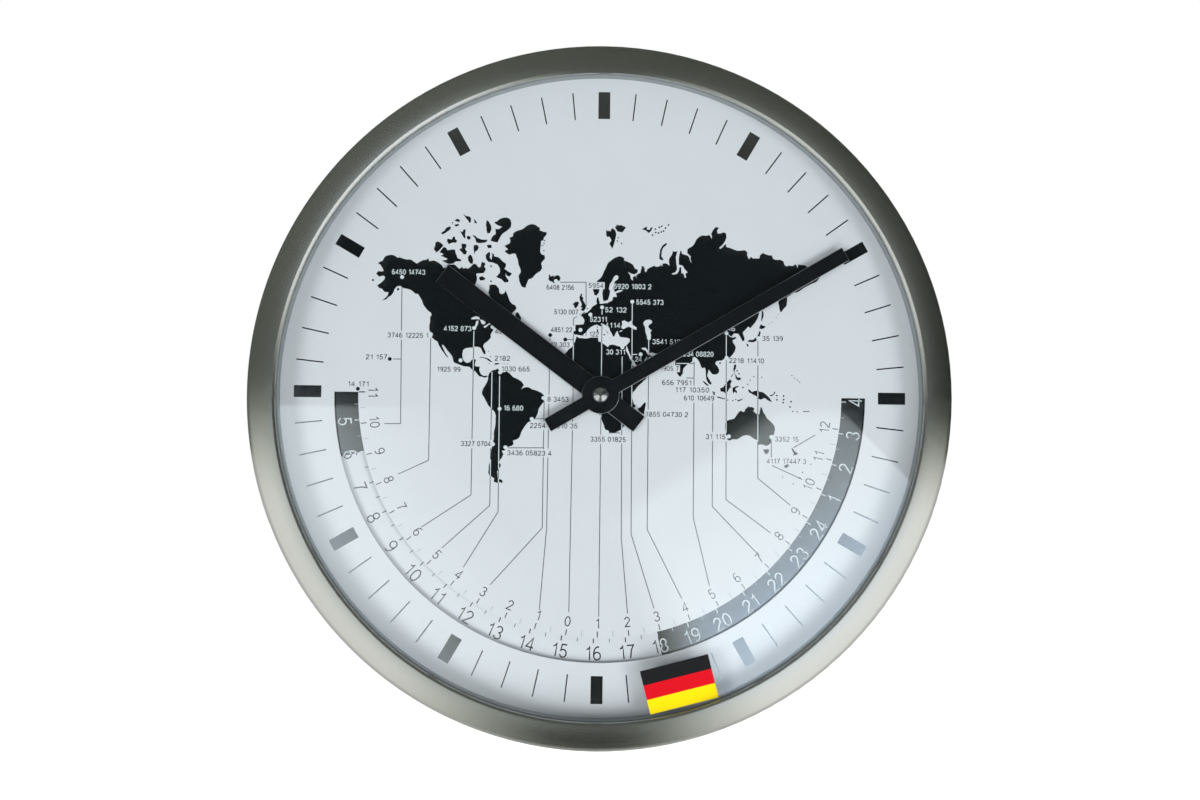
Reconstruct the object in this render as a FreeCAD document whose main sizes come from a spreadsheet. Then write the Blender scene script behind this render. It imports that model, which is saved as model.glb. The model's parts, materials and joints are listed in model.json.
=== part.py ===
import FreeCAD, Part
import math
import os
import re

import Sketcher

# World time clock for a wall, in millimetres.
# X is to the right and +Z up as the dial is read, the wall is the plane Y = 0 and the dial faces -Y.
# The origin is the point of the wall plane behind the middle arbor. Every piece is drawn in a front frame,
# x to the right, y up, z out from the wall, which its Placement turns upright. "back" and "front" sizes are
# distances from the wall.

SIZES = {
    # Case
    "case_radius": 150.0,
    "skirt_wall": 1.2,
    "skirt_wall_gap": 1.0,
    "ring_clearance": 0.3,
    "bezel_width": 12.5,
    "bezel_lip": 2.65,
    "bezel_crown_radius": 15.5,
    "bezel_crown_inset": 3.2,
    "bezel_corner_run": 2.0,
    "bezel_inner_chamfer": 2.3,
    "glass_thickness": 2.5,
    "glass_chamfer": 0.4,
    "gasket_thickness": 0.8,
    "gasket_width": 6.5,
    "dial_recess": 7.0,
    "dial_thickness": 1.0,
    "window_inset": 23.2,
    "window_width": 10.3,
    "dial_hole_clearance": 0.6,
    "support_height": 8.0,
    "support_width": 8.5,
    "carrier_thickness": 1.6,
    "pan_wall": 2.5,
    "pan_floor_back": 7.0,
    "pan_floor": 2.5,
    "pan_window_clearance": 1.6,
    # Case screws
    "case_screw_head": 2.6,
    "case_screw_head_height": 1.2,
    "case_screw_shank": 1.45,
    "case_screw_length": 6.0,
    "case_screw_back": 12.0,
    "case_screw_first_angle": 60.0,
    "screw_hole_clearance": 0.05,
    "screw_slot_width": 0.7,
    "screw_slot_depth": 0.6,
    # Hanger and bumpers
    "hanger_inset": 38.0,
    "hanger_width": 56.0,
    "hanger_height": 24.0,
    "hanger_corner": 3.0,
    "hanger_thickness": 1.2,
    "hanger_back": 1.4,
    "keyhole_entry_radius": 5.0,
    "keyhole_slot_radius": 2.2,
    "keyhole_rise": 8.5,
    "hanger_boss_radius": 4.5,
    "hanger_screw_spread": 20.0,
    "hanger_screw_head": 2.8,
    "hanger_screw_head_height": 1.1,
    "hanger_screw_shank": 1.3,
    "hanger_screw_length": 5.0,
    "bumper_radius": 6.0,
    "bumper_inset": 19.8,
    "bumper_angle": 25.0,
    "bumper_dome": 1.0,
    "bumper_seat_back": 3.0,
    "bumper_boss_radius": 7.0,
    # Label on the glass. Its angle, like the bumpers', is from straight down.
    "label_width": 29.6,
    "label_height": 18.6,
    "label_thickness": 0.15,
    "label_inset": 11.24,
    "label_angle": 15.95,
    "label_tilt": 14.6,
    # Disc behind the window
    "disc_thickness": 0.5,
    "disc_drop": 1.5,
    "disc_margin": 2.7,
    "disc_hub_radius": 7.0,
    "disc_hub_flange": 1.0,
    "disc_hub_height": 3.1,
    "disc_sleeve_radius": 5.0,
    "disc_rivet_radius": 4.6,
    "disc_rivet_height": 0.4,
    "disc_collar_radius": 3.8,
    # Hands
    "hand_thickness": 0.6,
    "hand_hub_radius": 8.1,
    "hour_hand_over_dial": 1.7,
    "hour_hand_inset": 51.5,
    "hour_hand_width": 9.15,
    "hour_tail_length": 20.9,
    "hour_tail_width": 8.3,
    "hour_hand_angle": 306.7,
    "hand_gap": 1.2,
    "minute_hand_inset": 15.6,
    "minute_hand_width": 6.4,
    "minute_tail_length": 26.3,
    "minute_tail_width": 6.2,
    "minute_hand_angle": 59.35,
    "hand_bush_radius": 4.2,
    "hand_bush_height": 0.9,
    "hand_collar_radius": 3.1,
    "nut_radius": 2.9,
    "nut_height": 1.9,
    "nut_rim": 0.45,
    "nut_flat_radius": 0.7,
    "nut_cap": 0.6,
    # Centre arbor and pipes
    "arbor_radius": 1.6,
    "arbor_tip_radius": 1.2,
    "arbor_rear_radius": 1.0,
    "pipe_wall": 0.6,
    "pipe_clearance": 0.1,
    "pivot_radius": 0.5,
    "pivot_length": 0.8,
    "pivot_clearance": 0.05,
    "end_shake": 0.2,
    "fit_clearance": 0.02,
    "wheel_arbor_radius": 0.8,
    "bush_wall": 0.9,
    "bush_height": 4.1,
    "washer_thickness": 0.5,
    "washer_radius": 7.5,
    "fixing_nut_flats": 12.0,
    "fixing_nut_height": 1.8,
    # Movement case
    "movement_back": 3.0,
    "movement_top": 28.0,
    "movement_corner": 2.5,
    "side_wall": 1.2,
    "front_wall": 1.4,
    "cover_thickness": 1.2,
    "cover_clearance": 0.1,
    "middle_thickness": 1.2,
    "partition": 1.2,
    "post_radius": 2.6,
    "post_neck_radius": 1.5,
    "post_inset": 3.4,
    "low_post_up": 8.0,
    "cover_screw_head": 1.7,
    "cover_screw_head_height": 0.8,
    "cover_screw_shank": 0.75,
    "cover_screw_length": 5.0,
    "stud_radius": 0.8,
    "stud_shoulder": 1.5,
    "setting_boss_radius": 2.2,
    # Battery and contacts
    "battery_radius": 7.25,
    "battery_length": 49.2,
    "battery_nub": 1.3,
    "battery_nub_radius": 2.75,
    "battery_edge": 0.8,
    "battery_down": 19.9,
    "battery_clearance": 0.3,
    "cradle_floor": 2.4,
    "cradle_thickness": 2.0,
    "cradle_spread": 15.0,
    "cradle_width": 9.0,
    "contact_room": 1.55,
    "contact_thickness": 0.4,
    "contact_width": 7.0,
    "contact_height": 11.0,
    "contact_boss_radius": 2.0,
    # Circuit
    "board_width": 6.4,
    "board_height": 22.0,
    "board_thickness": 0.8,
    "board_left": 22.0,
    "board_bottom": 1.5,
    "chip_radius": 2.2,
    "chip_height": 0.7,
    "crystal_radius": 1.0,
    "crystal_length": 6.0,
    # Motor
    "rotor_magnet_radius": 3.0,
    "rotor_magnet_height": 3.0,
    "rotor_magnet_back": 7.4,
    "rotor_gap": 0.5,
    "stator_band": 2.5,
    "stator_thickness": 0.8,
    "stator_back": 7.9,
    "core_width": 2.0,
    "coil_down": 7.0,
    "coil_length": 11.0,
    "coil_left": 13.5,
    "bobbin_flange": 3.2,
    "bobbin_flange_thickness": 0.6,
    "bobbin_wall": 0.4,
    "winding_radius": 3.0,
    "leg_width": 1.8,
    "motor_side_room": 0.4,
    # Wheels
    "wheel_thickness": 1.2,
    "layer_gap": 0.6,
    "cover_gap": 1.0,
    "motion_gap": 0.5,
    "fine_module": 0.3,
    "coarse_module": 0.52,
    "motion_module": 0.4,
    "pinion_run": 0.2,
    "clutch_spring_radius": 3.0,
    "clutch_spring_thickness": 0.25,
    "clutch_collar_radius": 2.0,
    "clutch_gap": 0.05,
    # Setting knob
    "knob_radius": 6.0,
    "knob_thickness": 2.0,
    "knob_stem_radius": 1.5,
    "knob_cover_gap": 0.2,
    "knob_flute_radius": 0.8,
}

# Bearings in degrees from +X, anticlockwise as the dial is read: each wheel seen from the one it meshes with.
BEARINGS = {
    "third_bearing": 120.0,
    "second_bearing": 20.0,
    "first_bearing": 10.0,
    "rotor_bearing": -75.0,
    "minute_bearing": 200.0,
    "idler_bearing": 30.0,
    "setting_bearing": 180.0,
}

# Numbers of teeth, and of other things that are counted.
COUNTS = {
    "rotor_leaves": 8,
    "first_teeth": 60,
    "first_leaves": 8,
    "second_teeth": 32,
    "second_leaves": 8,
    "third_teeth": 60,
    "third_leaves": 8,
    "centre_teeth": 64,
    "cannon_leaves": 12,
    "minute_teeth": 36,
    "minute_leaves": 10,
    "hour_teeth": 40,
    "hour_leaves": 16,
    "idler_teeth": 32,
    "idler_leaves": 16,
    "day_teeth": 32,
    "setting_leaves": 12,
    "case_screw_count": 3,
    "knob_flutes": 12,
}

# Teeth: each share is of the module, or of the pitch where it says so.
PINION_PITCH_SHARE = 0.36
PINION_ADDENDUM_SHARE = 0.6
PINION_DEDENDUM_SHARE = 1.25
WHEEL_PITCH_SHARE = 0.40
WHEEL_ADDENDUM_SHARE = 0.9
WHEEL_DEDENDUM_SHARE = 1.05

# What follows from the driving sizes.
FITS = {
    "skirt_inner": "case_radius - skirt_wall",
    "ring_radius": "skirt_inner - ring_clearance",
    "view_radius": "case_radius - bezel_width",
    "cover_front": "movement_back + cover_thickness",
    "layer_pitch": "wheel_thickness + layer_gap",
    "first_layer": "cover_front + cover_gap",
    "second_layer": "first_layer + layer_pitch",
    "third_layer": "second_layer + layer_pitch",
    "fourth_layer": "third_layer + layer_pitch",
    "middle_back": "fourth_layer + layer_pitch",
    "middle_front": "middle_back + middle_thickness",
    "motion_pitch": "wheel_thickness + motion_gap",
    "motion_one": "middle_front + motion_gap",
    "motion_two": "motion_one + motion_pitch",
    "motion_three": "motion_two + motion_pitch",
    "motion_four": "motion_three + motion_pitch",
    "inner_front": "motion_four + motion_pitch",
    "movement_front": "inner_front + front_wall",
    "carrier_front": "movement_front + carrier_thickness",
    "dial_back": "carrier_front + support_height",
    "dial_front": "dial_back + dial_thickness",
    "glass_back": "dial_front + dial_recess",
    "glass_front": "glass_back + glass_thickness",
    "bezel_back": "glass_front + gasket_thickness",
    "bezel_edge": "bezel_back + bezel_lip",
    "bezel_crown_r": "view_radius + bezel_crown_inset",
    "bezel_crown_centre": "bezel_edge - sqrt(bezel_crown_radius ^ 2 - bezel_crown_inset ^ 2)",
    "bezel_joint_r": "case_radius - bezel_corner_run",
    "bezel_joint_lean": "(bezel_joint_r - bezel_crown_r) / bezel_crown_radius",
    "bezel_joint_front": "bezel_crown_centre + bezel_crown_radius * sqrt(1 - bezel_joint_lean ^ 2)",
    "bezel_corner_radius": "bezel_corner_run / (1 - bezel_joint_lean)",
    "bezel_side_front": "bezel_joint_front - bezel_corner_radius * sqrt(1 - bezel_joint_lean ^ 2)",
    "glass_radius": "skirt_inner - bezel_inner_chamfer - ring_clearance",
    "disc_front": "dial_back - disc_drop",
    "disc_back": "disc_front - disc_thickness",
    "window_outer": "view_radius - window_inset",
    "window_inner": "window_outer - window_width",
    "disc_radius": "window_outer + disc_margin",
    "hanger_up": "case_radius - hanger_inset",
    "bumper_spread": "(case_radius - bumper_inset) * sin(bumper_angle)",
    "bumper_drop": "(case_radius - bumper_inset) * cos(bumper_angle)",
    "label_right": "(view_radius - label_inset) * sin(label_angle)",
    "label_down": "(view_radius - label_inset) * cos(label_angle)",
    "hour_hand_length": "view_radius - hour_hand_inset",
    "minute_hand_length": "view_radius - minute_hand_inset",
    "hour_hand_back": "dial_front + hour_hand_over_dial",
    "hour_hand_front": "hour_hand_back + hand_thickness",
    "minute_hand_back": "hour_hand_front + hand_gap",
    "minute_hand_front": "minute_hand_back + hand_thickness",
    "nut_top": "minute_hand_front + nut_height",
    "hour_pipe_bore": "arbor_radius + pipe_clearance",
    "hour_pipe_radius": "hour_pipe_bore + pipe_wall",
    "day_pipe_bore": "hour_pipe_radius + pipe_clearance",
    "day_pipe_radius": "day_pipe_bore + pipe_wall",
    "bush_bore": "day_pipe_radius + pipe_clearance",
    "bush_radius": "bush_bore + bush_wall",
    "bush_front": "movement_front + bush_height",
    "battery_depth": "inner_front - cradle_floor - battery_radius",
    "partition_bottom": "0 - battery_down + battery_radius + battery_clearance",
    "partition_top": "partition_bottom + partition",
    "movement_bottom": "0 - battery_down - battery_radius - battery_clearance - side_wall",
    "cell_half_room": "(battery_length + battery_nub) / 2 + contact_room",
    "motor_half_room": "coil_left + coil_length + leg_width + pipe_clearance + motor_side_room",
    "inner_half_width": "max(cell_half_room; motor_half_room)",
    "movement_half_width": "inner_half_width + side_wall",
    "inner_top": "movement_top - side_wall",
    "centre_reach": "fine_module * (third_leaves + centre_teeth) / 2",
    "third_reach": "fine_module * (second_leaves + third_teeth) / 2",
    "second_reach": "coarse_module * (first_leaves + second_teeth) / 2",
    "first_reach": "fine_module * (rotor_leaves + first_teeth) / 2",
    "motion_reach": "motion_module * (cannon_leaves + minute_teeth) / 2",
    "setting_reach": "motion_module * (setting_leaves + minute_teeth) / 2",
    "hour_module": "2 * motion_reach / (minute_leaves + hour_teeth)",
    "idler_module": "2 * motion_reach / (hour_leaves + idler_teeth)",
    "day_module": "2 * motion_reach / (idler_leaves + day_teeth)",
    "third_x": "centre_reach * cos(third_bearing)",
    "third_z": "centre_reach * sin(third_bearing)",
    "second_x": "third_x + third_reach * cos(second_bearing)",
    "second_z": "third_z + third_reach * sin(second_bearing)",
    "first_x": "second_x + second_reach * cos(first_bearing)",
    "first_z": "second_z + second_reach * sin(first_bearing)",
    "rotor_x": "first_x + first_reach * cos(rotor_bearing)",
    "rotor_z": "first_z + first_reach * sin(rotor_bearing)",
    "minute_x": "motion_reach * cos(minute_bearing)",
    "minute_z": "motion_reach * sin(minute_bearing)",
    "idler_x": "motion_reach * cos(idler_bearing)",
    "idler_z": "motion_reach * sin(idler_bearing)",
    "setting_x": "minute_x + setting_reach * cos(setting_bearing)",
    "setting_z": "minute_z + setting_reach * sin(setting_bearing)",
}

doc = FreeCAD.newDocument("world_time_clock")
sizes = doc.addObject("Spreadsheet::Sheet", "Sizes")
fits = doc.addObject("Spreadsheet::Sheet", "Fits")
DRIVING = {**SIZES, **BEARINGS, **COUNTS}


def bound(text):
    """The expression with the sheet's name before each alias."""
    def sheet(match):
        word = match.group(0)
        return "Sizes." + word if word in DRIVING else "Fits." + word if word in FITS else word
    return re.sub(r"[a-z_]+", sheet, text)


def fill(sheet, cells):
    for row, (alias, content) in enumerate(cells.items(), 1):
        sheet.set("A%d" % row, alias)
        sheet.set("B%d" % row, content)
        sheet.setAlias("B%d" % row, alias)
    doc.recompute()


fill(sizes, {alias: str(number) for alias, number in DRIVING.items()})
fill(fits, {alias: "=" + bound(text).replace("Fits.", "") for alias, text in FITS.items()})


def size(text):
    """The value of an expression in the sheets' aliases."""
    return float(sizes.evalExpression(bound(text)))


Vector = FreeCAD.Vector
UPRIGHT = FreeCAD.Rotation(Vector(1, 0, 0), 90)
nodes = {}


def place(item, x="0", z="0", turn=0):
    """Turns a piece drawn in the front frame upright, with its axis at (x, z), turned clockwise as the
    dial is read."""
    spin = FreeCAD.Rotation(Vector(0, 0, 1), -turn)
    item.Placement = FreeCAD.Placement(Vector(size(x), 0, size(z)), UPRIGHT.multiply(spin))
    item.setExpression("Placement.Base.x", bound(x))
    item.setExpression("Placement.Base.z", bound(z))
    return item


def node(label, item):
    """Names a finished piece, which is written to a file of that name."""
    item.Label = label
    nodes[label] = item
    return item


def solid_body(name):
    return doc.addObject("PartDesign::Body", name)


def fix_point(sketch, geo, pos, x, y):
    for kind, text, axis in (("DistanceX", x, -2), ("DistanceY", y, -1)):
        if text == "0":
            sketch.addConstraint(Sketcher.Constraint("PointOnObject", geo, pos, axis))
        else:
            index = sketch.addConstraint(Sketcher.Constraint(kind, -1, 1, geo, pos, size(text)))
            sketch.setExpression("Constraints[%d]" % index, bound(text))


def add_circle(sketch, x, y, radius):
    geo = sketch.addGeometry(Part.Circle(Vector(size(x), size(y), 0), Vector(0, 0, 1), size(radius)))
    fix_point(sketch, geo, 3, x, y)
    index = sketch.addConstraint(Sketcher.Constraint("Radius", geo, size(radius)))
    sketch.setExpression("Constraints[%d]" % index, bound(radius))


def add_outline(sketch, corners):
    """A closed outline through (x, y) corners, drawn clockwise. A third entry is the radius of the arc
    that arrives at that corner, bulging outwards."""
    ends = []
    for at, corner in enumerate(corners):
        start = Vector(size(corners[at - 1][0]), size(corners[at - 1][1]), 0)
        end = Vector(size(corner[0]), size(corner[1]), 0)
        if len(corner) == 2:
            ends.append((sketch.addGeometry(Part.LineSegment(start, end)), 1, 2))
            continue
        half = (end - start) * 0.5
        rise = math.sqrt(max(size(corner[2]) ** 2 - half.Length ** 2, 0))
        left = Vector(-half.y, half.x, 0).normalize()
        centre = start + half - left * rise
        lead = math.atan2(end.y - centre.y, end.x - centre.x)
        trail = math.atan2(start.y - centre.y, start.x - centre.x)
        ring = Part.Circle(centre, Vector(0, 0, 1), size(corner[2]))
        ends.append((sketch.addGeometry(Part.ArcOfCircle(ring, lead, trail)), 2, 1))
    for at, (geo, first, last) in enumerate(ends):
        before = ends[at - 1]
        sketch.addConstraint(Sketcher.Constraint("Coincident", before[0], before[2], geo, first))
    for at, corner in enumerate(corners):
        geo, first, last = ends[at]
        fix_point(sketch, geo, last, corner[0], corner[1])
        if len(corner) > 2:
            index = sketch.addConstraint(Sketcher.Constraint("Radius", geo, size(corner[2])))
            sketch.setExpression("Constraints[%d]" % index, bound(corner[2]))


def add_sketch(body, name, plane, loops, height="0"):
    """A sketch on one of the body's own planes, moved out along it. A loop is an outline or a circle
    (x, y, radius)."""
    sketch = body.newObject("Sketcher::SketchObject", name)
    origin = {item.Role: item for item in body.Origin.OriginFeatures}
    sketch.AttachmentSupport = [(origin[plane], "")]
    sketch.MapMode = "FlatFace"
    if height != "0":
        sketch.setExpression("AttachmentOffset.Base.z", bound(height))
    for loop in loops:
        if isinstance(loop[0], str):
            add_circle(sketch, *loop)
        else:
            add_outline(sketch, loop)
    return sketch


def pad(body, name, loops, back, front):
    feature = body.newObject("PartDesign::Pad", name)
    feature.Profile = add_sketch(body, name + "_outline", "XY_Plane", loops, back)
    feature.setExpression("Length", bound("(%s) - (%s)" % (front, back)))
    return feature


def pocket(body, name, loops, back, front):
    """Cuts the loops out from back to front."""
    feature = body.newObject("PartDesign::Pocket", name)
    feature.Profile = add_sketch(body, name + "_outline", "XY_Plane", loops, front)
    feature.setExpression("Length", bound("(%s) - (%s)" % (front, back)))
    return feature


def revolve(body, name, outline):
    feature = body.newObject("PartDesign::Revolution", name)
    sketch = add_sketch(body, name + "_section", "XZ_Plane", [outline])
    feature.Profile = sketch
    feature.ReferenceAxis = (sketch, ["V_Axis"])
    feature.Angle = 360
    return feature


def turned(name, outline, x="0", z="0"):
    """A turned piece: its outline is (distance from the axis, distance from the wall)."""
    body = solid_body(name)
    revolve(body, name + "_turning", outline)
    return place(body, x, z)


def plate(name, loops, back, front, x="0", z="0", turn=0):
    body = solid_body(name)
    pad(body, name + "_pad", loops, back, front)
    return place(body, x, z, turn)


def box(left, bottom, right, top):
    return [(left, bottom), (left, top), (right, top), (right, bottom)]


def rounded(left, bottom, right, top, radius):
    """A rectangle with round corners, clockwise."""
    def inner(edge, sign):
        return "(%s) %s (%s)" % (edge, sign, radius)
    return [
        (left, inner(bottom, "+"), radius), (left, inner(top, "-")),
        (inner(left, "+"), top, radius), (inner(right, "-"), top),
        (right, inner(top, "-"), radius), (right, inner(bottom, "+")),
        (inner(right, "-"), bottom, radius), (inner(left, "+"), bottom),
    ]


def ring(inner, outer, back, front):
    """The section of a plain ring."""
    return [(inner, back), (inner, front), (outer, front), (outer, back)]


def primitive(kind, name, **lengths):
    item = doc.addObject("Part::" + kind, name)
    for key, text in lengths.items():
        item.setExpression(key, bound(text))
    return item


def rod(name, radius, back, front, x="0", z="0"):
    """A round bar square to the wall."""
    item = primitive("Cylinder", name, Radius=radius, Height="(%s) - (%s)" % (front, back))
    item.Placement.Rotation = UPRIGHT
    item.setExpression("Placement.Base.x", bound(x))
    item.setExpression("Placement.Base.y", bound("0 - (%s)" % back))
    item.setExpression("Placement.Base.z", bound(z))
    return item


def block(name, left, right, bottom, top, back, front):
    item = primitive("Box", name, Length="(%s) - (%s)" % (right, left), Width="(%s) - (%s)" % (front, back),
                     Height="(%s) - (%s)" % (top, bottom))
    item.setExpression("Placement.Base.x", bound(left))
    item.setExpression("Placement.Base.y", bound("0 - (%s)" % front))
    item.setExpression("Placement.Base.z", bound(bottom))
    return item


def along_x(name, radius, left, right, z, depth):
    """A round bar along X at the given distance from the wall."""
    item = primitive("Cylinder", name, Radius=radius, Height="(%s) - (%s)" % (right, left))
    item.Placement.Rotation = FreeCAD.Rotation(Vector(0, 1, 0), 90)
    item.setExpression("Placement.Base.x", bound(left))
    item.setExpression("Placement.Base.y", bound("0 - (%s)" % depth))
    item.setExpression("Placement.Base.z", bound(z))
    return item


def fused(name, items):
    item = doc.addObject("Part::MultiFuse", name)
    item.Shapes = items
    return item


def cut(name, base, tools):
    item = doc.addObject("Part::Cut", name)
    item.Base = base
    item.Tool = tools[0] if len(tools) == 1 else fused(name + "_tools", tools)
    return item


def group(name, items):
    item = doc.addObject("Part::Compound", name)
    item.Links = items
    return item


# Every cut starts and ends this share of its own depth beyond the surface.
OVERRUN_SHARE = 0.5


def through(name, radius, back, front, x="0", z="0"):
    """A round cutter that passes both faces of a wall."""
    spare = "%g * ((%s) - (%s))" % (OVERRUN_SHARE, front, back)
    return rod(name, radius, "(%s) - %s" % (back, spare), "(%s) + %s" % (front, spare), x, z)


# Screws. A screw is drawn along +Z of its own frame, head underside at zero, and then laid in its hole.

def screw(name, head, head_height, shank, length):
    """A slotted screw."""
    cap = primitive("Cylinder", name + "_head", Radius=head, Height=head_height)
    stem = primitive("Cylinder", name + "_shank", Radius=shank, Height=length)
    stem.setExpression("Placement.Base.z", bound("0 - (%s)" % length))
    slot = primitive("Box", name + "_slot", Length="2 * (%s)" % head, Width="screw_slot_width",
                     Height=head_height)
    slot.setExpression("Placement.Base.x", bound("0 - (%s)" % head))
    slot.setExpression("Placement.Base.y", bound("0 - screw_slot_width / 2"))
    slot.setExpression("Placement.Base.z", bound("(%s) - screw_slot_depth" % head_height))
    return cut(name, fused(name + "_body", [cap, stem]), [slot])


def lay(item, x, back, z, rotation):
    """Moves a piece to (x, z), its own zero at that distance from the wall."""
    item.Placement = FreeCAD.Placement(Vector(size(x), -size(back), size(z)), rotation)
    item.setExpression("Placement.Base.x", bound(x))
    item.setExpression("Placement.Base.y", bound("0 - (%s)" % back))
    item.setExpression("Placement.Base.z", bound(z))
    return item


TO_WALL = FreeCAD.Rotation(Vector(1, 0, 0), -90)


# Case

def radial_places(count, first_angle, reach):
    """Places round the dial, by clock angle, and the turn that points +Z outwards there."""
    places = []
    for at in range(count):
        angle = "(%s + %d * 360 / case_screw_count)" % (first_angle, at)
        outwards = FreeCAD.Rotation(Vector(0, 1, 0), size(angle))
        places.append(("(%s) * sin(%s)" % (reach, angle), "(%s) * cos(%s)" % (reach, angle), outwards))
    return places


def case_screw_holes(name, radius):
    """Cutters from the pan's inside out through the skirt."""
    cutters = []
    reach = "ring_radius - 2 * pan_wall"
    places = radial_places(COUNTS["case_screw_count"], "case_screw_first_angle", reach)
    for at, (x, z, outwards) in enumerate(places):
        cutter = primitive("Cylinder", "%s_%d" % (name, at), Radius=radius,
                           Height="3 * pan_wall + skirt_wall")
        cutters.append(lay(cutter, x, "case_screw_back", z, outwards))
    return cutters


def make_bezel():
    shell = turned("bezel_shell", [
        ("view_radius", "bezel_back"),
        ("view_radius", "bezel_edge"),
        ("bezel_joint_r", "bezel_joint_front", "bezel_crown_radius"),
        ("case_radius", "bezel_side_front", "bezel_corner_radius"),
        ("case_radius", "skirt_wall_gap"),
        ("skirt_inner", "skirt_wall_gap"),
        ("skirt_inner", "bezel_back - bezel_inner_chamfer"),
        ("skirt_inner - bezel_inner_chamfer", "bezel_back"),
    ])
    holes = case_screw_holes("bezel_hole", "case_screw_shank + screw_hole_clearance")
    node("bezel", cut("bezel_piece", shell, holes))


def make_glazing():
    node("front_glass", turned("front_glass", [
        ("0", "glass_back"),
        ("0", "glass_front"),
        ("glass_radius - glass_chamfer", "glass_front"),
        ("glass_radius", "glass_front - glass_chamfer"),
        ("glass_radius", "glass_back"),
    ]))
    node("glass_gasket", turned("glass_gasket", ring(
        "glass_radius - gasket_width", "glass_radius - glass_chamfer", "glass_front", "bezel_back")))
    node("spacer_ring", turned("spacer_ring", ring("view_radius", "ring_radius", "dial_front", "glass_back")))


def make_dial():
    blank = plate("dial_blank", [
        ("0", "0", "ring_radius"),
        ("0", "0", "hour_pipe_radius + dial_hole_clearance"),
    ], "dial_back", "dial_front")
    band = cut("window_band", through("window_rim", "window_outer", "dial_back", "dial_front"), [
        through("window_core", "window_inner", "dial_back - dial_thickness", "dial_front + dial_thickness")])
    lower = block("window_half", "0 - case_radius", "case_radius", "0 - case_radius", "0",
                  "dial_back - dial_thickness", "dial_front + dial_thickness")
    window = doc.addObject("Part::MultiCommon", "window_cutter")
    window.Shapes = [band, lower]
    node("dial_plate", cut("dial_piece", blank, [window]))
    node("support_ring", turned("support_ring", ring(
        "ring_radius - support_width", "ring_radius", "carrier_front", "dial_back")))
    node("carrier_plate", plate("carrier_plate", [
        ("0", "0", "ring_radius"),
        ("0", "0", "bush_radius + pipe_clearance"),
    ], "movement_front", "carrier_front"))


HANGER_SCREWS = ("0 - hanger_screw_spread", "hanger_screw_spread")
BUMPERS = ("0 - bumper_spread", "bumper_spread")


def make_pan():
    inner = "(ring_radius - pan_wall)"
    body = solid_body("pan_shell")
    revolve(body, "pan_turning", [
        ("0", "pan_floor_back"),
        ("0", "pan_floor_back + pan_floor"),
        (inner, "pan_floor_back + pan_floor"),
        (inner, "movement_front"),
        ("ring_radius", "movement_front"),
        ("ring_radius", "0"),
        (inner, "0"),
        (inner, "pan_floor_back"),
    ])
    doc.recompute()
    side = "(movement_half_width + pan_window_clearance)"
    pocket(body, "pan_window", [rounded(
        "0 - " + side, "movement_bottom - pan_window_clearance", side, "movement_top + pan_window_clearance",
        "movement_corner + pan_window_clearance")], "pan_floor_back", "pan_floor_back + pan_floor")
    bosses = "hanger_back + hanger_thickness"
    pad(body, "hanger_bosses", [(x, "hanger_up", "hanger_boss_radius") for x in HANGER_SCREWS],
        bosses, "pan_floor_back")
    pad(body, "bumper_bosses", [(x, "0 - bumper_drop", "bumper_boss_radius") for x in BUMPERS],
        "bumper_seat_back", "pan_floor_back")
    place(body)
    cutters = case_screw_holes("pan_hole", "case_screw_shank + screw_hole_clearance")
    for x in HANGER_SCREWS:
        cutters.append(rod("hanger_hole", "hanger_screw_shank + screw_hole_clearance", bosses,
                           "hanger_back + hanger_screw_length + screw_hole_clearance", x, "hanger_up"))
    node("rear_pan", cut("pan_piece", body, cutters))


def make_case_screws():
    screws = []
    places = radial_places(COUNTS["case_screw_count"], "case_screw_first_angle", "case_radius")
    for at, (x, z, outwards) in enumerate(places):
        one = screw("case_screw_%d" % at, "case_screw_head", "case_screw_head_height", "case_screw_shank",
                    "case_screw_length")
        screws.append(lay(one, x, "case_screw_back", z, outwards))
    node("case_screws", group("case_screw_set", screws))


# The round of a slot's end is this share of its half width, and the rest is a short flat.
SLOT_END_SHARE = 0.98


def make_hanger():
    """A steel plate on two bosses. Its keyhole goes over a screw in the wall."""
    body = solid_body("hanger_bracket")
    front = "hanger_back + hanger_thickness"
    middle = "hanger_up - keyhole_rise / 2"
    half = "hanger_width / 2"
    pad(body, "hanger_plate", [rounded(
        "0 - " + half, "hanger_up - hanger_height / 2", half, "hanger_up + hanger_height / 2",
        "hanger_corner")], "hanger_back", front)
    pocket(body, "keyhole_slot", [rounded(
        "0 - keyhole_slot_radius", middle, "keyhole_slot_radius",
        "%s + keyhole_rise + keyhole_slot_radius" % middle, "%g * keyhole_slot_radius" % SLOT_END_SHARE)],
        "hanger_back", front)
    pocket(body, "keyhole_entry", [("0", middle, "keyhole_entry_radius")], "hanger_back", front)
    pocket(body, "hanger_screw_holes", [
        (x, "hanger_up", "hanger_screw_shank + screw_hole_clearance") for x in HANGER_SCREWS],
        "hanger_back", front)
    node("hanger_bracket", place(body))
    screws = []
    for at, x in enumerate(HANGER_SCREWS):
        one = screw("hanger_screw_%d" % at, "hanger_screw_head", "hanger_screw_head_height",
                    "hanger_screw_shank", "hanger_screw_length")
        screws.append(lay(one, x, "hanger_back", "hanger_up", TO_WALL))
    node("hanger_screws", group("hanger_screw_set", screws))


def make_bumpers():
    section = [
        ("0", "0"),
        ("0", "bumper_seat_back"),
        ("bumper_radius", "bumper_seat_back"),
        ("bumper_radius", "bumper_dome"),
        ("bumper_radius - bumper_dome", "0"),
    ]
    node("wall_bumpers", group("bumper_set", [
        turned("bumper_%d" % at, section, x, "0 - bumper_drop") for at, x in enumerate(BUMPERS)]))


def make_label():
    half_width, half_height = "label_width / 2", "label_height / 2"
    node("glass_label", plate("glass_label", [box(
        "0 - " + half_width, "0 - " + half_height, half_width, half_height)],
        "glass_front", "glass_front + label_thickness", "label_right", "0 - label_down", -size("label_tilt")))


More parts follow.
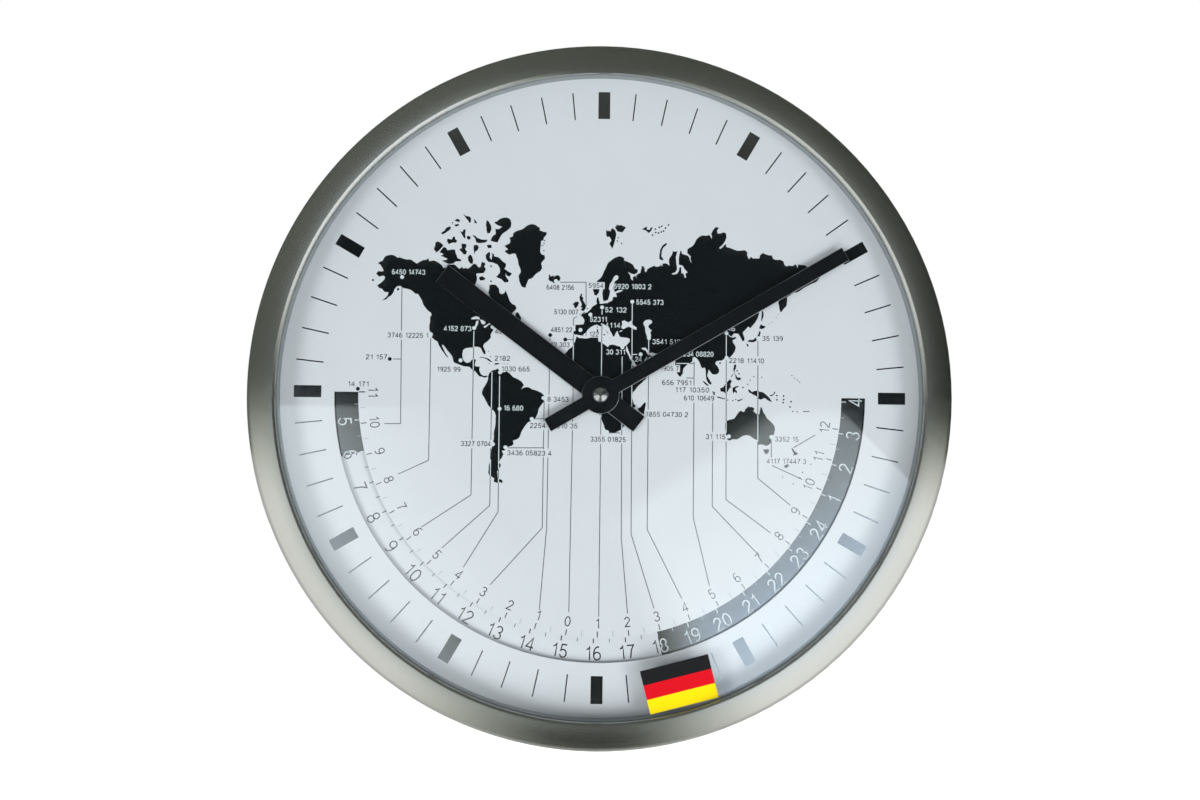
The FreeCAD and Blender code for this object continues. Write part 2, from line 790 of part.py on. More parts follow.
# Hands and disc

def make_hand(name, length, width, tail, tail_width, hole, back, angle):
    body = solid_body(name)
    front = "(%s) + hand_thickness" % back
    pad(body, name + "_bar", [box("0 - %s / 2" % width, "0", "%s / 2" % width, length)], back, front)
    pad(body, name + "_tail", [box("0 - %s / 2" % tail_width, "0 - " + tail, "%s / 2" % tail_width, "0")],
        back, front)
    pad(body, name + "_hub", [("0", "0", "hand_hub_radius")], back, front)
    pocket(body, name + "_hole", [("0", "0", hole)], back, front)
    return node(name, place(body, turn=size(angle)))


def hand_bush(name, bore, hand_back):
    """A flanged ring under the hand, with a collar through it."""
    return node(name, turned(name, [
        (bore, "(%s) - hand_bush_height" % hand_back),
        (bore, "(%s) + hand_thickness" % hand_back),
        ("hand_collar_radius", "(%s) + hand_thickness" % hand_back),
        ("hand_collar_radius", hand_back),
        ("hand_bush_radius", hand_back),
        ("hand_bush_radius", "(%s) - hand_bush_height" % hand_back),
    ]))


def make_hands():
    hole = "hand_collar_radius + fit_clearance"
    make_hand("hour_hand", "hour_hand_length", "hour_hand_width", "hour_tail_length", "hour_tail_width", hole,
              "hour_hand_back", "hour_hand_angle")
    hand_bush("hour_hand_bush", "hour_pipe_radius + fit_clearance", "hour_hand_back")
    make_hand("minute_hand", "minute_hand_length", "minute_hand_width", "minute_tail_length",
              "minute_tail_width", hole, "minute_hand_back", "minute_hand_angle")
    hand_bush("minute_hand_bush", "arbor_tip_radius + fit_clearance", "minute_hand_back")
    bore = "arbor_tip_radius + fit_clearance"
    node("centre_nut", turned("centre_nut", [
        (bore, "minute_hand_front"),
        (bore, "nut_top - nut_cap"),
        ("0", "nut_top - nut_cap"),
        ("0", "nut_top"),
        ("nut_flat_radius", "nut_top"),
        ("nut_radius", "minute_hand_front + nut_rim"),
        ("nut_radius", "minute_hand_front"),
    ]))


def make_disc():
    node("window_disc", plate("window_disc", [
        ("0", "0", "disc_radius"),
        ("0", "0", "disc_collar_radius + fit_clearance"),
    ], "disc_back", "disc_front"))
    bore = "day_pipe_radius + fit_clearance"
    node("disc_hub", turned("disc_hub", [
        (bore, "disc_back - disc_hub_height"),
        (bore, "disc_front + disc_rivet_height"),
        ("disc_rivet_radius", "disc_front + disc_rivet_height"),
        ("disc_rivet_radius", "disc_front"),
        ("disc_collar_radius", "disc_front"),
        ("disc_collar_radius", "disc_back"),
        ("disc_hub_radius", "disc_back"),
        ("disc_hub_radius", "disc_back - disc_hub_flange"),
        ("disc_sleeve_radius", "disc_back - disc_hub_flange"),
        ("disc_sleeve_radius", "disc_back - disc_hub_height"),
    ]))


# Movement case

def posts():
    """Corner posts of the movement case."""
    left = "post_inset - movement_half_width"
    right = "movement_half_width - post_inset"
    top = "movement_top - post_inset"
    return ((left, top), (right, top), (left, "low_post_up"))


def make_movement_case():
    body = solid_body("movement_shell")
    low_inner = "movement_bottom + side_wall"
    pad(body, "movement_block", [rounded(
        "0 - movement_half_width", "movement_bottom", "movement_half_width", "movement_top",
        "movement_corner")],
        "movement_back", "movement_front")
    pocket(body, "gear_room", [box("0 - inner_half_width", "partition_top", "inner_half_width", "inner_top")],
           "movement_back", "inner_front")
    pocket(body, "battery_room", [box("0 - inner_half_width", low_inner, "inner_half_width",
                                      "partition_bottom")],
           "movement_back", "inner_front")
    pad(body, "posts", [(x, z, "post_radius") for x, z in posts()], "middle_front", "inner_front")
    pad(body, "post_necks", [(x, z, "post_neck_radius") for x, z in posts()], "cover_front", "middle_front")
    pad(body, "setting_boss", [("setting_x", "setting_z", "setting_boss_radius")],
        "motion_two", "inner_front")
    studs = (("minute", "minute_x", "minute_z", "motion_three + end_shake"),
             ("idler", "idler_x", "idler_z", "motion_four + wheel_thickness + end_shake"))
    for name, x, z, shoulder in studs:
        pad(body, name + "_stud", [(x, z, "stud_radius")], "middle_front + end_shake / 2", "inner_front")
        pad(body, name + "_shoulder", [(x, z, "stud_shoulder")], shoulder, "inner_front")
    pocket(body, "bush_hole", [("0", "0", "bush_radius + fit_clearance")], "inner_front", "movement_front")
    pocket(body, "setting_pivot_hole", [("setting_x", "setting_z", "stud_radius + pivot_clearance")],
           "motion_two", "inner_front - motion_gap")
    pocket(body, "post_holes", [(x, z, "cover_screw_shank + screw_hole_clearance") for x, z in posts()],
           "cover_front", "movement_back + cover_screw_length + screw_hole_clearance")
    place(body)
    cradles = []
    half = "cradle_width / 2"
    for at, x in enumerate(("0 - cradle_spread", "cradle_spread")):
        rib = block("cradle_rib_%d" % at, "(%s) - cradle_thickness / 2" % x,
                    "(%s) + cradle_thickness / 2" % x,
                    "0 - battery_down - " + half, "0 - battery_down + " + half,
                    "battery_depth + battery_radius / 2", "inner_front")
        seat = along_x("cradle_seat_%d" % at, "battery_radius + pivot_clearance",
                       "(%s) - cradle_thickness" % x,
                       "(%s) + cradle_thickness" % x, "0 - battery_down", "battery_depth")
        cradles.append(cut("cradle_%d" % at, rib, [seat]))
    node("movement_case", fused("movement_case_piece", [body] + cradles))


def arbor_holes():
    """Where the going train's pivots run."""
    wheels = ("rotor", "first", "second", "third")
    return [(x + "_x", x + "_z", "pivot_radius + pivot_clearance") for x in wheels]


def make_plates():
    stem_hole = ("setting_x", "setting_z", "knob_stem_radius + pipe_clearance")
    edge = "inner_half_width - cover_clearance"
    outline = box("0 - (%s)" % edge, "partition_top + cover_clearance", edge, "inner_top - cover_clearance")
    cover = solid_body("movement_cover")
    centre_hole = ("0", "0", "pivot_radius + pivot_clearance")
    pad(cover, "cover_sheet", [outline, stem_hole, centre_hole] + arbor_holes(),
        "movement_back", "cover_front")
    pocket(cover, "cover_screw_holes", [
        (x, z, "cover_screw_shank + screw_hole_clearance") for x, z in posts()], "movement_back",
        "cover_front")
    node("movement_cover", place(cover))
    plate_body = solid_body("middle_plate")
    centre_hole = ("0", "0", "arbor_radius + pipe_clearance")
    pad(plate_body, "middle_sheet", [outline, stem_hole, centre_hole] + arbor_holes(),
        "middle_back", "middle_front")
    pad(plate_body, "core_posts", [
        (x, "0 - coil_down", "core_width / 2 - pivot_clearance") for x in core_ends()],
        "stator_back + 2 * stator_thickness", "middle_back")
    pocket(plate_body, "neck_holes", [(x, z, "post_neck_radius + pipe_clearance") for x, z in posts()],
           "middle_back", "middle_front")
    node("middle_plate", place(plate_body))


def core_ends():
    """The middles of the two stator legs, where the coil's core lies on them."""
    return ("coil_left - leg_width / 2 - pipe_clearance",
            "coil_left + coil_length + leg_width / 2 + pipe_clearance")


def make_cover_screws():
    screws = []
    for at, (x, z) in enumerate(posts()):
        one = screw("cover_screw_%d" % at, "cover_screw_head", "cover_screw_head_height", "cover_screw_shank",
                    "cover_screw_length")
        screws.append(lay(one, x, "movement_back", z, TO_WALL))
    node("cover_screws", group("cover_screw_set", screws))


# Wheels. Each is one moulding or turning, drawn in the front frame round its own axis.

def mesh_phase(phase, teeth, bearing, mate_teeth):
    """The bearing of a tooth on a wheel that meshes at the given bearing with one whose tooth is at phase."""
    return bearing + 180 + (180 / teeth - (phase - bearing)) * teeth / mate_teeth


def toothed(teeth, module, phase, back, front, pinion):
    """A toothed disc: radial flanks inside the pitch circle, pointed tips outside it."""
    pitch_radius = module * teeth / 2
    pitch_share = PINION_PITCH_SHARE if pinion else WHEEL_PITCH_SHARE
    tip = pitch_radius + module * (PINION_ADDENDUM_SHARE if pinion else WHEEL_ADDENDUM_SHARE)
    root = pitch_radius - module * (PINION_DEDENDUM_SHARE if pinion else WHEEL_DEDENDUM_SHARE)
    half = pitch_share * 180 / teeth
    corners = []
    for at in range(teeth):
        middle = phase + at * 360 / teeth
        for radius, angle in ((root, middle - half), (pitch_radius, middle - half), (tip, middle),
                              (pitch_radius, middle + half), (root, middle + half)):
            turn = math.radians(angle)
            corners.append(Vector(radius * math.cos(turn), radius * math.sin(turn), size(back)))
    face = Part.Face(Part.makePolygon(corners + corners[:1]))
    return face.extrude(Vector(0, 0, size(front) - size(back)))


def bar(radius, back, front):
    start = Vector(0, 0, size(back))
    return Part.makeCylinder(size(radius), size(front) - size(back), start, Vector(0, 0, 1))


def spun(label, x, z, solids, bores=()):
    """A turning piece: its solids in one, less its bores."""
    shape = solids[0].multiFuse(solids[1:]) if len(solids) > 1 else solids[0]
    for bore in bores:
        shape = shape.cut(bore)
    item = doc.addObject("Part::Feature", label)
    item.Shape = shape.removeSplitter()
    return node(label, place(item, x, z))


def arbor():
    """The arbor of a going wheel, with a pivot in the cover and one in the middle plate."""
    return [
        bar("wheel_arbor_radius", "cover_front + end_shake", "middle_back - end_shake"),
        bar("pivot_radius", "cover_front + end_shake - pivot_length",
            "middle_back - end_shake + pivot_length"),
    ]


def counts(name):
    return COUNTS[name]


def going_phases():
    """Where each wheel and pinion of the going train has a tooth at rest. A pinion points one at its
    wheel."""
    phases = {}
    for pinion, wheel, bearing in (("rotor_leaves", "first_teeth", "rotor_bearing"),
                                   ("first_leaves", "second_teeth", "first_bearing"),
                                   ("second_leaves", "third_teeth", "second_bearing"),
                                   ("third_leaves", "centre_teeth", "third_bearing")):
        phases[pinion] = BEARINGS[bearing] + 180
        phases[wheel] = mesh_phase(phases[pinion], counts(pinion), phases[pinion], counts(wheel))
    return phases


def make_going_train():
    phases = going_phases()
    fine, coarse = size("fine_module"), size("coarse_module")
    wheels = (("first", "first_layer", "second_layer", fine, coarse),
              ("second", "second_layer", "third_layer", coarse, fine),
              ("third", "third_layer", "fourth_layer", fine, fine))
    spun("rotor", "rotor_x", "rotor_z", arbor() + [
        toothed(counts("rotor_leaves"), fine, phases["rotor_leaves"], "first_layer - pinion_run",
                "first_layer + wheel_thickness + pinion_run", True)])
    spun("rotor_magnet", "rotor_x", "rotor_z",
         [bar("rotor_magnet_radius", "rotor_magnet_back", "rotor_magnet_back + rotor_magnet_height")],
         [bar("wheel_arbor_radius + fit_clearance", "rotor_magnet_back",
              "rotor_magnet_back + rotor_magnet_height")])
    for name, layer, mate_layer, wheel_module, pinion_module in wheels:
        teeth, leaves = name + "_teeth", name + "_leaves"
        spun(name + "_wheel", name + "_x", name + "_z", arbor() + [
            toothed(counts(teeth), wheel_module, phases[teeth], layer, layer + " + wheel_thickness", False),
            toothed(counts(leaves), pinion_module, phases[leaves], layer + " + wheel_thickness",
                    mate_layer + " + wheel_thickness + pinion_run", True)])
    spun("centre_wheel", "0", "0",
         [toothed(counts("centre_teeth"), fine, phases["centre_teeth"], "fourth_layer",
                  "fourth_layer + wheel_thickness", False)],
         [bar("arbor_rear_radius + pivot_clearance", "fourth_layer", "fourth_layer + wheel_thickness")])


def make_motion_work():
    """From the middle arbor through two reductions to the hour pipe, and two more to the disc's pipe."""
    module, hour, idler, day = (
        size(name) for name in ("motion_module", "hour_module", "idler_module", "day_module"))
    to_minute, to_idler = BEARINGS["minute_bearing"], BEARINGS["idler_bearing"]
    minute_phase = mesh_phase(to_minute, counts("cannon_leaves"), to_minute, counts("minute_teeth"))
    setting_phase = mesh_phase(minute_phase, counts("minute_teeth"), BEARINGS["setting_bearing"],
                               counts("setting_leaves"))
    shoulder = "fourth_layer + wheel_thickness + clutch_gap + clutch_spring_thickness"
    tip_back = "minute_hand_back - hand_bush_height"
    spun("minute_arbor", "0", "0", [
        bar("pivot_radius", "cover_front + end_shake - pivot_length", "cover_front + end_shake"),
        bar("arbor_rear_radius", "cover_front + end_shake", shoulder),
        bar("arbor_radius", shoulder, tip_back),
        bar("arbor_tip_radius", tip_back, "nut_top - nut_cap - pipe_clearance"),
        toothed(counts("cannon_leaves"), module, to_minute, "motion_one - pinion_run",
                "motion_one + wheel_thickness + pinion_run", True)])
    spun("clutch_spring", "0", "0",
         [bar("clutch_spring_radius", "fourth_layer + wheel_thickness + clutch_gap", shoulder)],
         [bar("arbor_rear_radius + fit_clearance", "fourth_layer + wheel_thickness + clutch_gap", shoulder)])
    spun("clutch_collar", "0", "0",
         [bar("clutch_collar_radius", "third_layer + wheel_thickness + pipe_clearance",
              "fourth_layer - clutch_gap")],
         [bar("arbor_rear_radius + fit_clearance", "third_layer + wheel_thickness + pipe_clearance",
              "fourth_layer - clutch_gap")])
    stud_bore = "stud_radius + pivot_clearance"
    spun("minute_wheel", "minute_x", "minute_z", [
        toothed(counts("minute_teeth"), module, minute_phase, "motion_one", "motion_one + wheel_thickness",
                False),
        toothed(counts("minute_leaves"), hour, to_minute + 180, "motion_one + wheel_thickness",
                "motion_two + wheel_thickness + pinion_run", True)],
        [bar(stud_bore, "motion_one", "motion_two + wheel_thickness + pinion_run")])
    hour_phase = mesh_phase(to_minute + 180, counts("minute_leaves"), to_minute + 180, counts("hour_teeth"))
    spun("hour_wheel", "0", "0", [
        toothed(counts("hour_teeth"), hour, hour_phase, "motion_two", "motion_two + wheel_thickness", False),
        toothed(counts("hour_leaves"), idler, to_idler, "motion_two + wheel_thickness",
                "motion_three + wheel_thickness + pinion_run", True),
        bar("hour_pipe_radius", "motion_two", "hour_hand_front")],
        [bar("hour_pipe_bore", "motion_two", "hour_hand_front")])
    idler_phase = mesh_phase(to_idler, counts("hour_leaves"), to_idler, counts("idler_teeth"))
    spun("idler_wheel", "idler_x", "idler_z", [
        toothed(counts("idler_teeth"), idler, idler_phase, "motion_three", "motion_three + wheel_thickness",
                False),
        toothed(counts("idler_leaves"), day, to_idler + 180, "motion_three + wheel_thickness",
                "motion_four + wheel_thickness", True),
        bar("stud_shoulder - end_shake", "middle_front + end_shake", "motion_three")],
        [bar(stud_bore, "middle_front + end_shake", "motion_four + wheel_thickness")])
    day_phase = mesh_phase(to_idler + 180, counts("idler_leaves"), to_idler + 180, counts("day_teeth"))
    spun("day_wheel", "0", "0", [
        toothed(counts("day_teeth"), day, day_phase, "motion_four", "motion_four + wheel_thickness", False),
        bar("day_pipe_radius", "motion_four", "disc_front + disc_rivet_height")],
        [bar("day_pipe_bore", "motion_four", "disc_front + disc_rivet_height")])
    make_setting_knob(setting_phase, module)


def make_setting_knob(phase, module):
    """The knob at the rear, its stem and its pinion, which turns the minute wheel."""
    front = "movement_back - knob_cover_gap"
    back = "movement_back - knob_cover_gap - knob_thickness"
    flutes = []
    for at in range(counts("knob_flutes")):
        turn = math.radians(at * 360 / counts("knob_flutes"))
        flute = bar("knob_flute_radius", back, front)
        flute.translate(Vector(size("knob_radius") * math.cos(turn), size("knob_radius") * math.sin(turn), 0))
        flutes.append(flute)
    spun("setting_knob", "setting_x", "setting_z", [
        bar("knob_radius", back, front),
        bar("knob_stem_radius", front, "motion_one"),
        bar("stud_radius", "motion_one", "motion_three"),
        toothed(counts("setting_leaves"), module, phase, "motion_one - pinion_run",
                "motion_one + wheel_thickness", True)], flutes)


# Bush and its fixings

def make_bush():
    bore = "bush_radius + fit_clearance"
    washer_front = "carrier_front + washer_thickness"
    node("threaded_bush", turned("threaded_bush", ring(
        "bush_bore", "bush_radius", "inner_front", "bush_front")))
    node("fixing_washer", turned("fixing_washer", ring(bore, "washer_radius", "carrier_front", washer_front)))
    prism = doc.addObject("Part::Prism", "fixing_nut_blank")
    prism.Polygon = 6
    prism.setExpression("Circumradius", bound("fixing_nut_flats / sqrt(3)"))
    prism.setExpression("Height", bound("fixing_nut_height"))
    prism.Placement.Rotation = UPRIGHT
    prism.setExpression("Placement.Base.y", bound("0 - (%s)" % washer_front))
    node("fixing_nut", cut("fixing_nut_piece", prism, [
        through("fixing_nut_bore", bore, washer_front, washer_front + " + fixing_nut_height")]))


# Battery, circuit and motor

def make_battery():
    """A cell along X, its button to the right, between the two contacts."""
    half = "(battery_length + battery_nub) / 2"
    shoulder = half + " - battery_nub"
    body = solid_body("battery")
    revolve(body, "battery_turning", [
        ("0", "0 - " + half),
        ("0", half),
        ("battery_nub_radius", half),
        ("battery_nub_radius", shoulder),
        ("battery_radius - battery_edge", shoulder),
        ("battery_radius", shoulder + " - battery_edge", "battery_edge"),
        ("battery_radius", "battery_edge - " + half),
        ("battery_radius - battery_edge", "0 - " + half, "battery_edge"),
    ])
    node("battery", lay(body, "0", "battery_depth", "0 - battery_down",
                        FreeCAD.Rotation(Vector(0, 1, 0), 90)))


def make_contacts():
    """A leaf with a boss against the cell's button, and a bowed spring leaf against its flat end."""
    reach = "(battery_length + battery_nub) / 2"
    spare = "inner_half_width - contact_thickness"
    back, front = "battery_depth - contact_width / 2", "battery_depth + contact_width / 2"
    leaf = block("plus_leaf", spare, "inner_half_width", "0 - battery_down - contact_height / 2",
                 "contact_height / 2 - battery_down", back, front)
    boss = along_x("plus_boss", "contact_boss_radius", reach + " + pivot_clearance", spare,
                   "0 - battery_down", "battery_depth")
    node("plus_contact", fused("plus_contact_piece", [leaf, boss]))

    def arc_radius(half_span, rise):
        return "((%s) ^ 2 + (%s) ^ 2) / (2 * (%s))" % (half_span, rise, rise)
    rise = "inner_half_width - %s - pivot_clearance - contact_thickness" % reach
    half = "contact_height / 2"
    hollow = half + " - 2 * contact_thickness"
    node("minus_contact", plate("minus_contact", [
        [("0", "0 - " + half), ("0", half), ("contact_thickness", half),
         ("contact_thickness", "0 - " + half, arc_radius(half, rise))],
        [("contact_thickness", hollow), ("contact_thickness", "0 - (%s)" % hollow,
                                         arc_radius(hollow, rise + " - contact_thickness"))],
    ], back, front, "0 - inner_half_width", "0 - battery_down"))


def make_circuit():
    right = "board_width - board_left"
    top = "board_bottom + board_height"
    board_back = "middle_back - board_thickness"
    node("circuit_board", block("circuit_board", "0 - board_left", right, "board_bottom", top, board_back,
                                "middle_back"))
    middle = "board_width / 2 - board_left"
    node("chip_cover", rod("chip_cover", "chip_radius", board_back + " - chip_height", board_back, middle,
                           "board_bottom + board_height / 3"))
    can = primitive("Cylinder", "crystal_can", Radius="crystal_radius", Height="crystal_length")
    lay(can, middle, board_back + " - crystal_radius", top + " - crystal_length - chip_radius",
        FreeCAD.Rotation())
    node("quartz_crystal", can)


def make_motor():
    """A magnet in a ring of soft iron, whose legs the coil's core joins."""
    stator_front = "stator_back + stator_thickness"
    hole = "rotor_magnet_radius + rotor_gap"
    left, right = core_ends()
    low = "0 - coil_down - core_width / 2"
    parts = [rod("stator_ring", hole + " + stator_band", "stator_back", stator_front, "rotor_x", "rotor_z")]
    for name, x in (("left", left), ("right", right)):
        parts.append(block("stator_%s_leg" % name, "%s - leg_width / 2" % x, "%s + leg_width / 2" % x, low,
                           "rotor_z", "stator_back", stator_front))
    parts.append(block("stator_bridge", "rotor_x", right + " + leg_width / 2", "rotor_z - leg_width",
                       "rotor_z", "stator_back", stator_front))
    parts.append(block("stator_shoulder", left + " - leg_width / 2", "rotor_x", "rotor_z - leg_width",
                       "rotor_z", "stator_back", stator_front))
    node("stator", cut("stator_piece", fused("stator_blank", parts), [
        through("rotor_hole", hole, "stator_back", stator_front, "rotor_x", "rotor_z")]))
    core_front = stator_front + " + stator_thickness"
    axis = stator_front + " + stator_thickness / 2"
    node("coil_core", block("coil_core", left + " - leg_width / 2", right + " + leg_width / 2", low,
                            "0 - coil_down + core_width / 2", stator_front, core_front))
    coil_right = "coil_left + coil_length"
    barrel_radius = "(core_width / 2 + bobbin_wall)"
    barrel = along_x("bobbin_barrel", barrel_radius, "coil_left", coil_right, "0 - coil_down", axis)
    flanges = [
        along_x("bobbin_flange_left", "bobbin_flange", "coil_left", "coil_left + bobbin_flange_thickness",
                "0 - coil_down", axis),
        along_x("bobbin_flange_right", "bobbin_flange", coil_right + " - bobbin_flange_thickness", coil_right,
                "0 - coil_down", axis),
    ]
    slot = block("bobbin_slot", "coil_left - leg_width", coil_right + " + leg_width",
                 low + " - pivot_clearance", "0 - coil_down + core_width / 2 + pivot_clearance",
                 stator_front + " - pivot_clearance", core_front + " + pivot_clearance")
    node("coil_bobbin", cut("coil_bobbin_piece", fused("coil_bobbin_blank", [barrel] + flanges), [slot]))
    room = "bobbin_flange_thickness + fit_clearance"
    turns = along_x("coil_turns", "winding_radius", "coil_left + " + room, coil_right + " - (%s)" % room,
                    "0 - coil_down", axis)
    core = along_x("coil_turns_core", barrel_radius + " + fit_clearance", "coil_left", coil_right,
                   "0 - coil_down", axis)
    node("coil_winding", cut("coil_winding_piece", turns, [core]))


def check(items):
    """Stops if any object failed."""
    for item in items:
        if "Invalid" in item.State or "Error" in item.State:
            raise RuntimeError("%s failed" % item.Name)
    for label, item in nodes.items():
        if item.Shape.isNull() or not item.Shape.isValid():
            raise RuntimeError("%s has no valid shape" % label)


def write():
    os.makedirs("parts", exist_ok=True)
    for label, item in nodes.items():
        item.Shape.exportStep("parts/%s.step" % label)


for make in (make_bezel, make_glazing, make_dial, make_pan, make_case_screws, make_hanger, make_bumpers,
             make_label, make_hands, make_disc, make_movement_case, make_plates, make_cover_screws,
             make_going_train, make_motion_work, make_bush, make_battery, make_contacts, make_circuit, make_motor):
    make()
doc.recompute()
check(doc.Objects)
write()
for label, item in nodes.items():
    print("%-18s %2d solids %12.2f mm3" % (label, len(item.Shape.Solids), item.Shape.Volume))
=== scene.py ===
import json
import math
from functools import partial, reduce
from itertools import groupby

import bmesh
import bpy
from mathutils import Matrix, Vector
from mathutils.geometry import tessellate_polygon


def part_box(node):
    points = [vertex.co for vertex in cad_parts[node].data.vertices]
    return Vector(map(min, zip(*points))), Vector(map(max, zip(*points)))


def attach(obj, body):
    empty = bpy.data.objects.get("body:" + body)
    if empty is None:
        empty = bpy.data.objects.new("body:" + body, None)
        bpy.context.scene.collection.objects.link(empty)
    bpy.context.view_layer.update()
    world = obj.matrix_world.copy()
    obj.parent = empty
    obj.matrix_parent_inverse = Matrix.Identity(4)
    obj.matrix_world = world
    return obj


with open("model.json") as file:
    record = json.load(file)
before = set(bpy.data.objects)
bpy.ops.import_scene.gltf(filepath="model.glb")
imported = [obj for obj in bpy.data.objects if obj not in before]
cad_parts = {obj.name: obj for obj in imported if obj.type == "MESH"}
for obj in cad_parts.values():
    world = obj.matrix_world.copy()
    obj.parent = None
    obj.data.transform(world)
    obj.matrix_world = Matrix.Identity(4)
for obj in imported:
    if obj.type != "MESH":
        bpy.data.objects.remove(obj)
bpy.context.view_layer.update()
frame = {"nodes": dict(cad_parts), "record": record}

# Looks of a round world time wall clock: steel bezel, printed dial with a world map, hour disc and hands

nodes = frame["nodes"]
MM = 0.001

# Levels in front of the wall plane, in mm: the dial's front and the disc's front, read from the frame
DIAL = -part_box("dial_plate")[0].y / MM
DISC = -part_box("window_disc")[0].y / MM
INK = 0.02


def points(tenths):
    """Points in mm from a row of tenths of mm: right, up, right, up and so on."""
    return [(u / 10, v / 10) for u, v in zip(tenths[::2], tenths[1::2])]


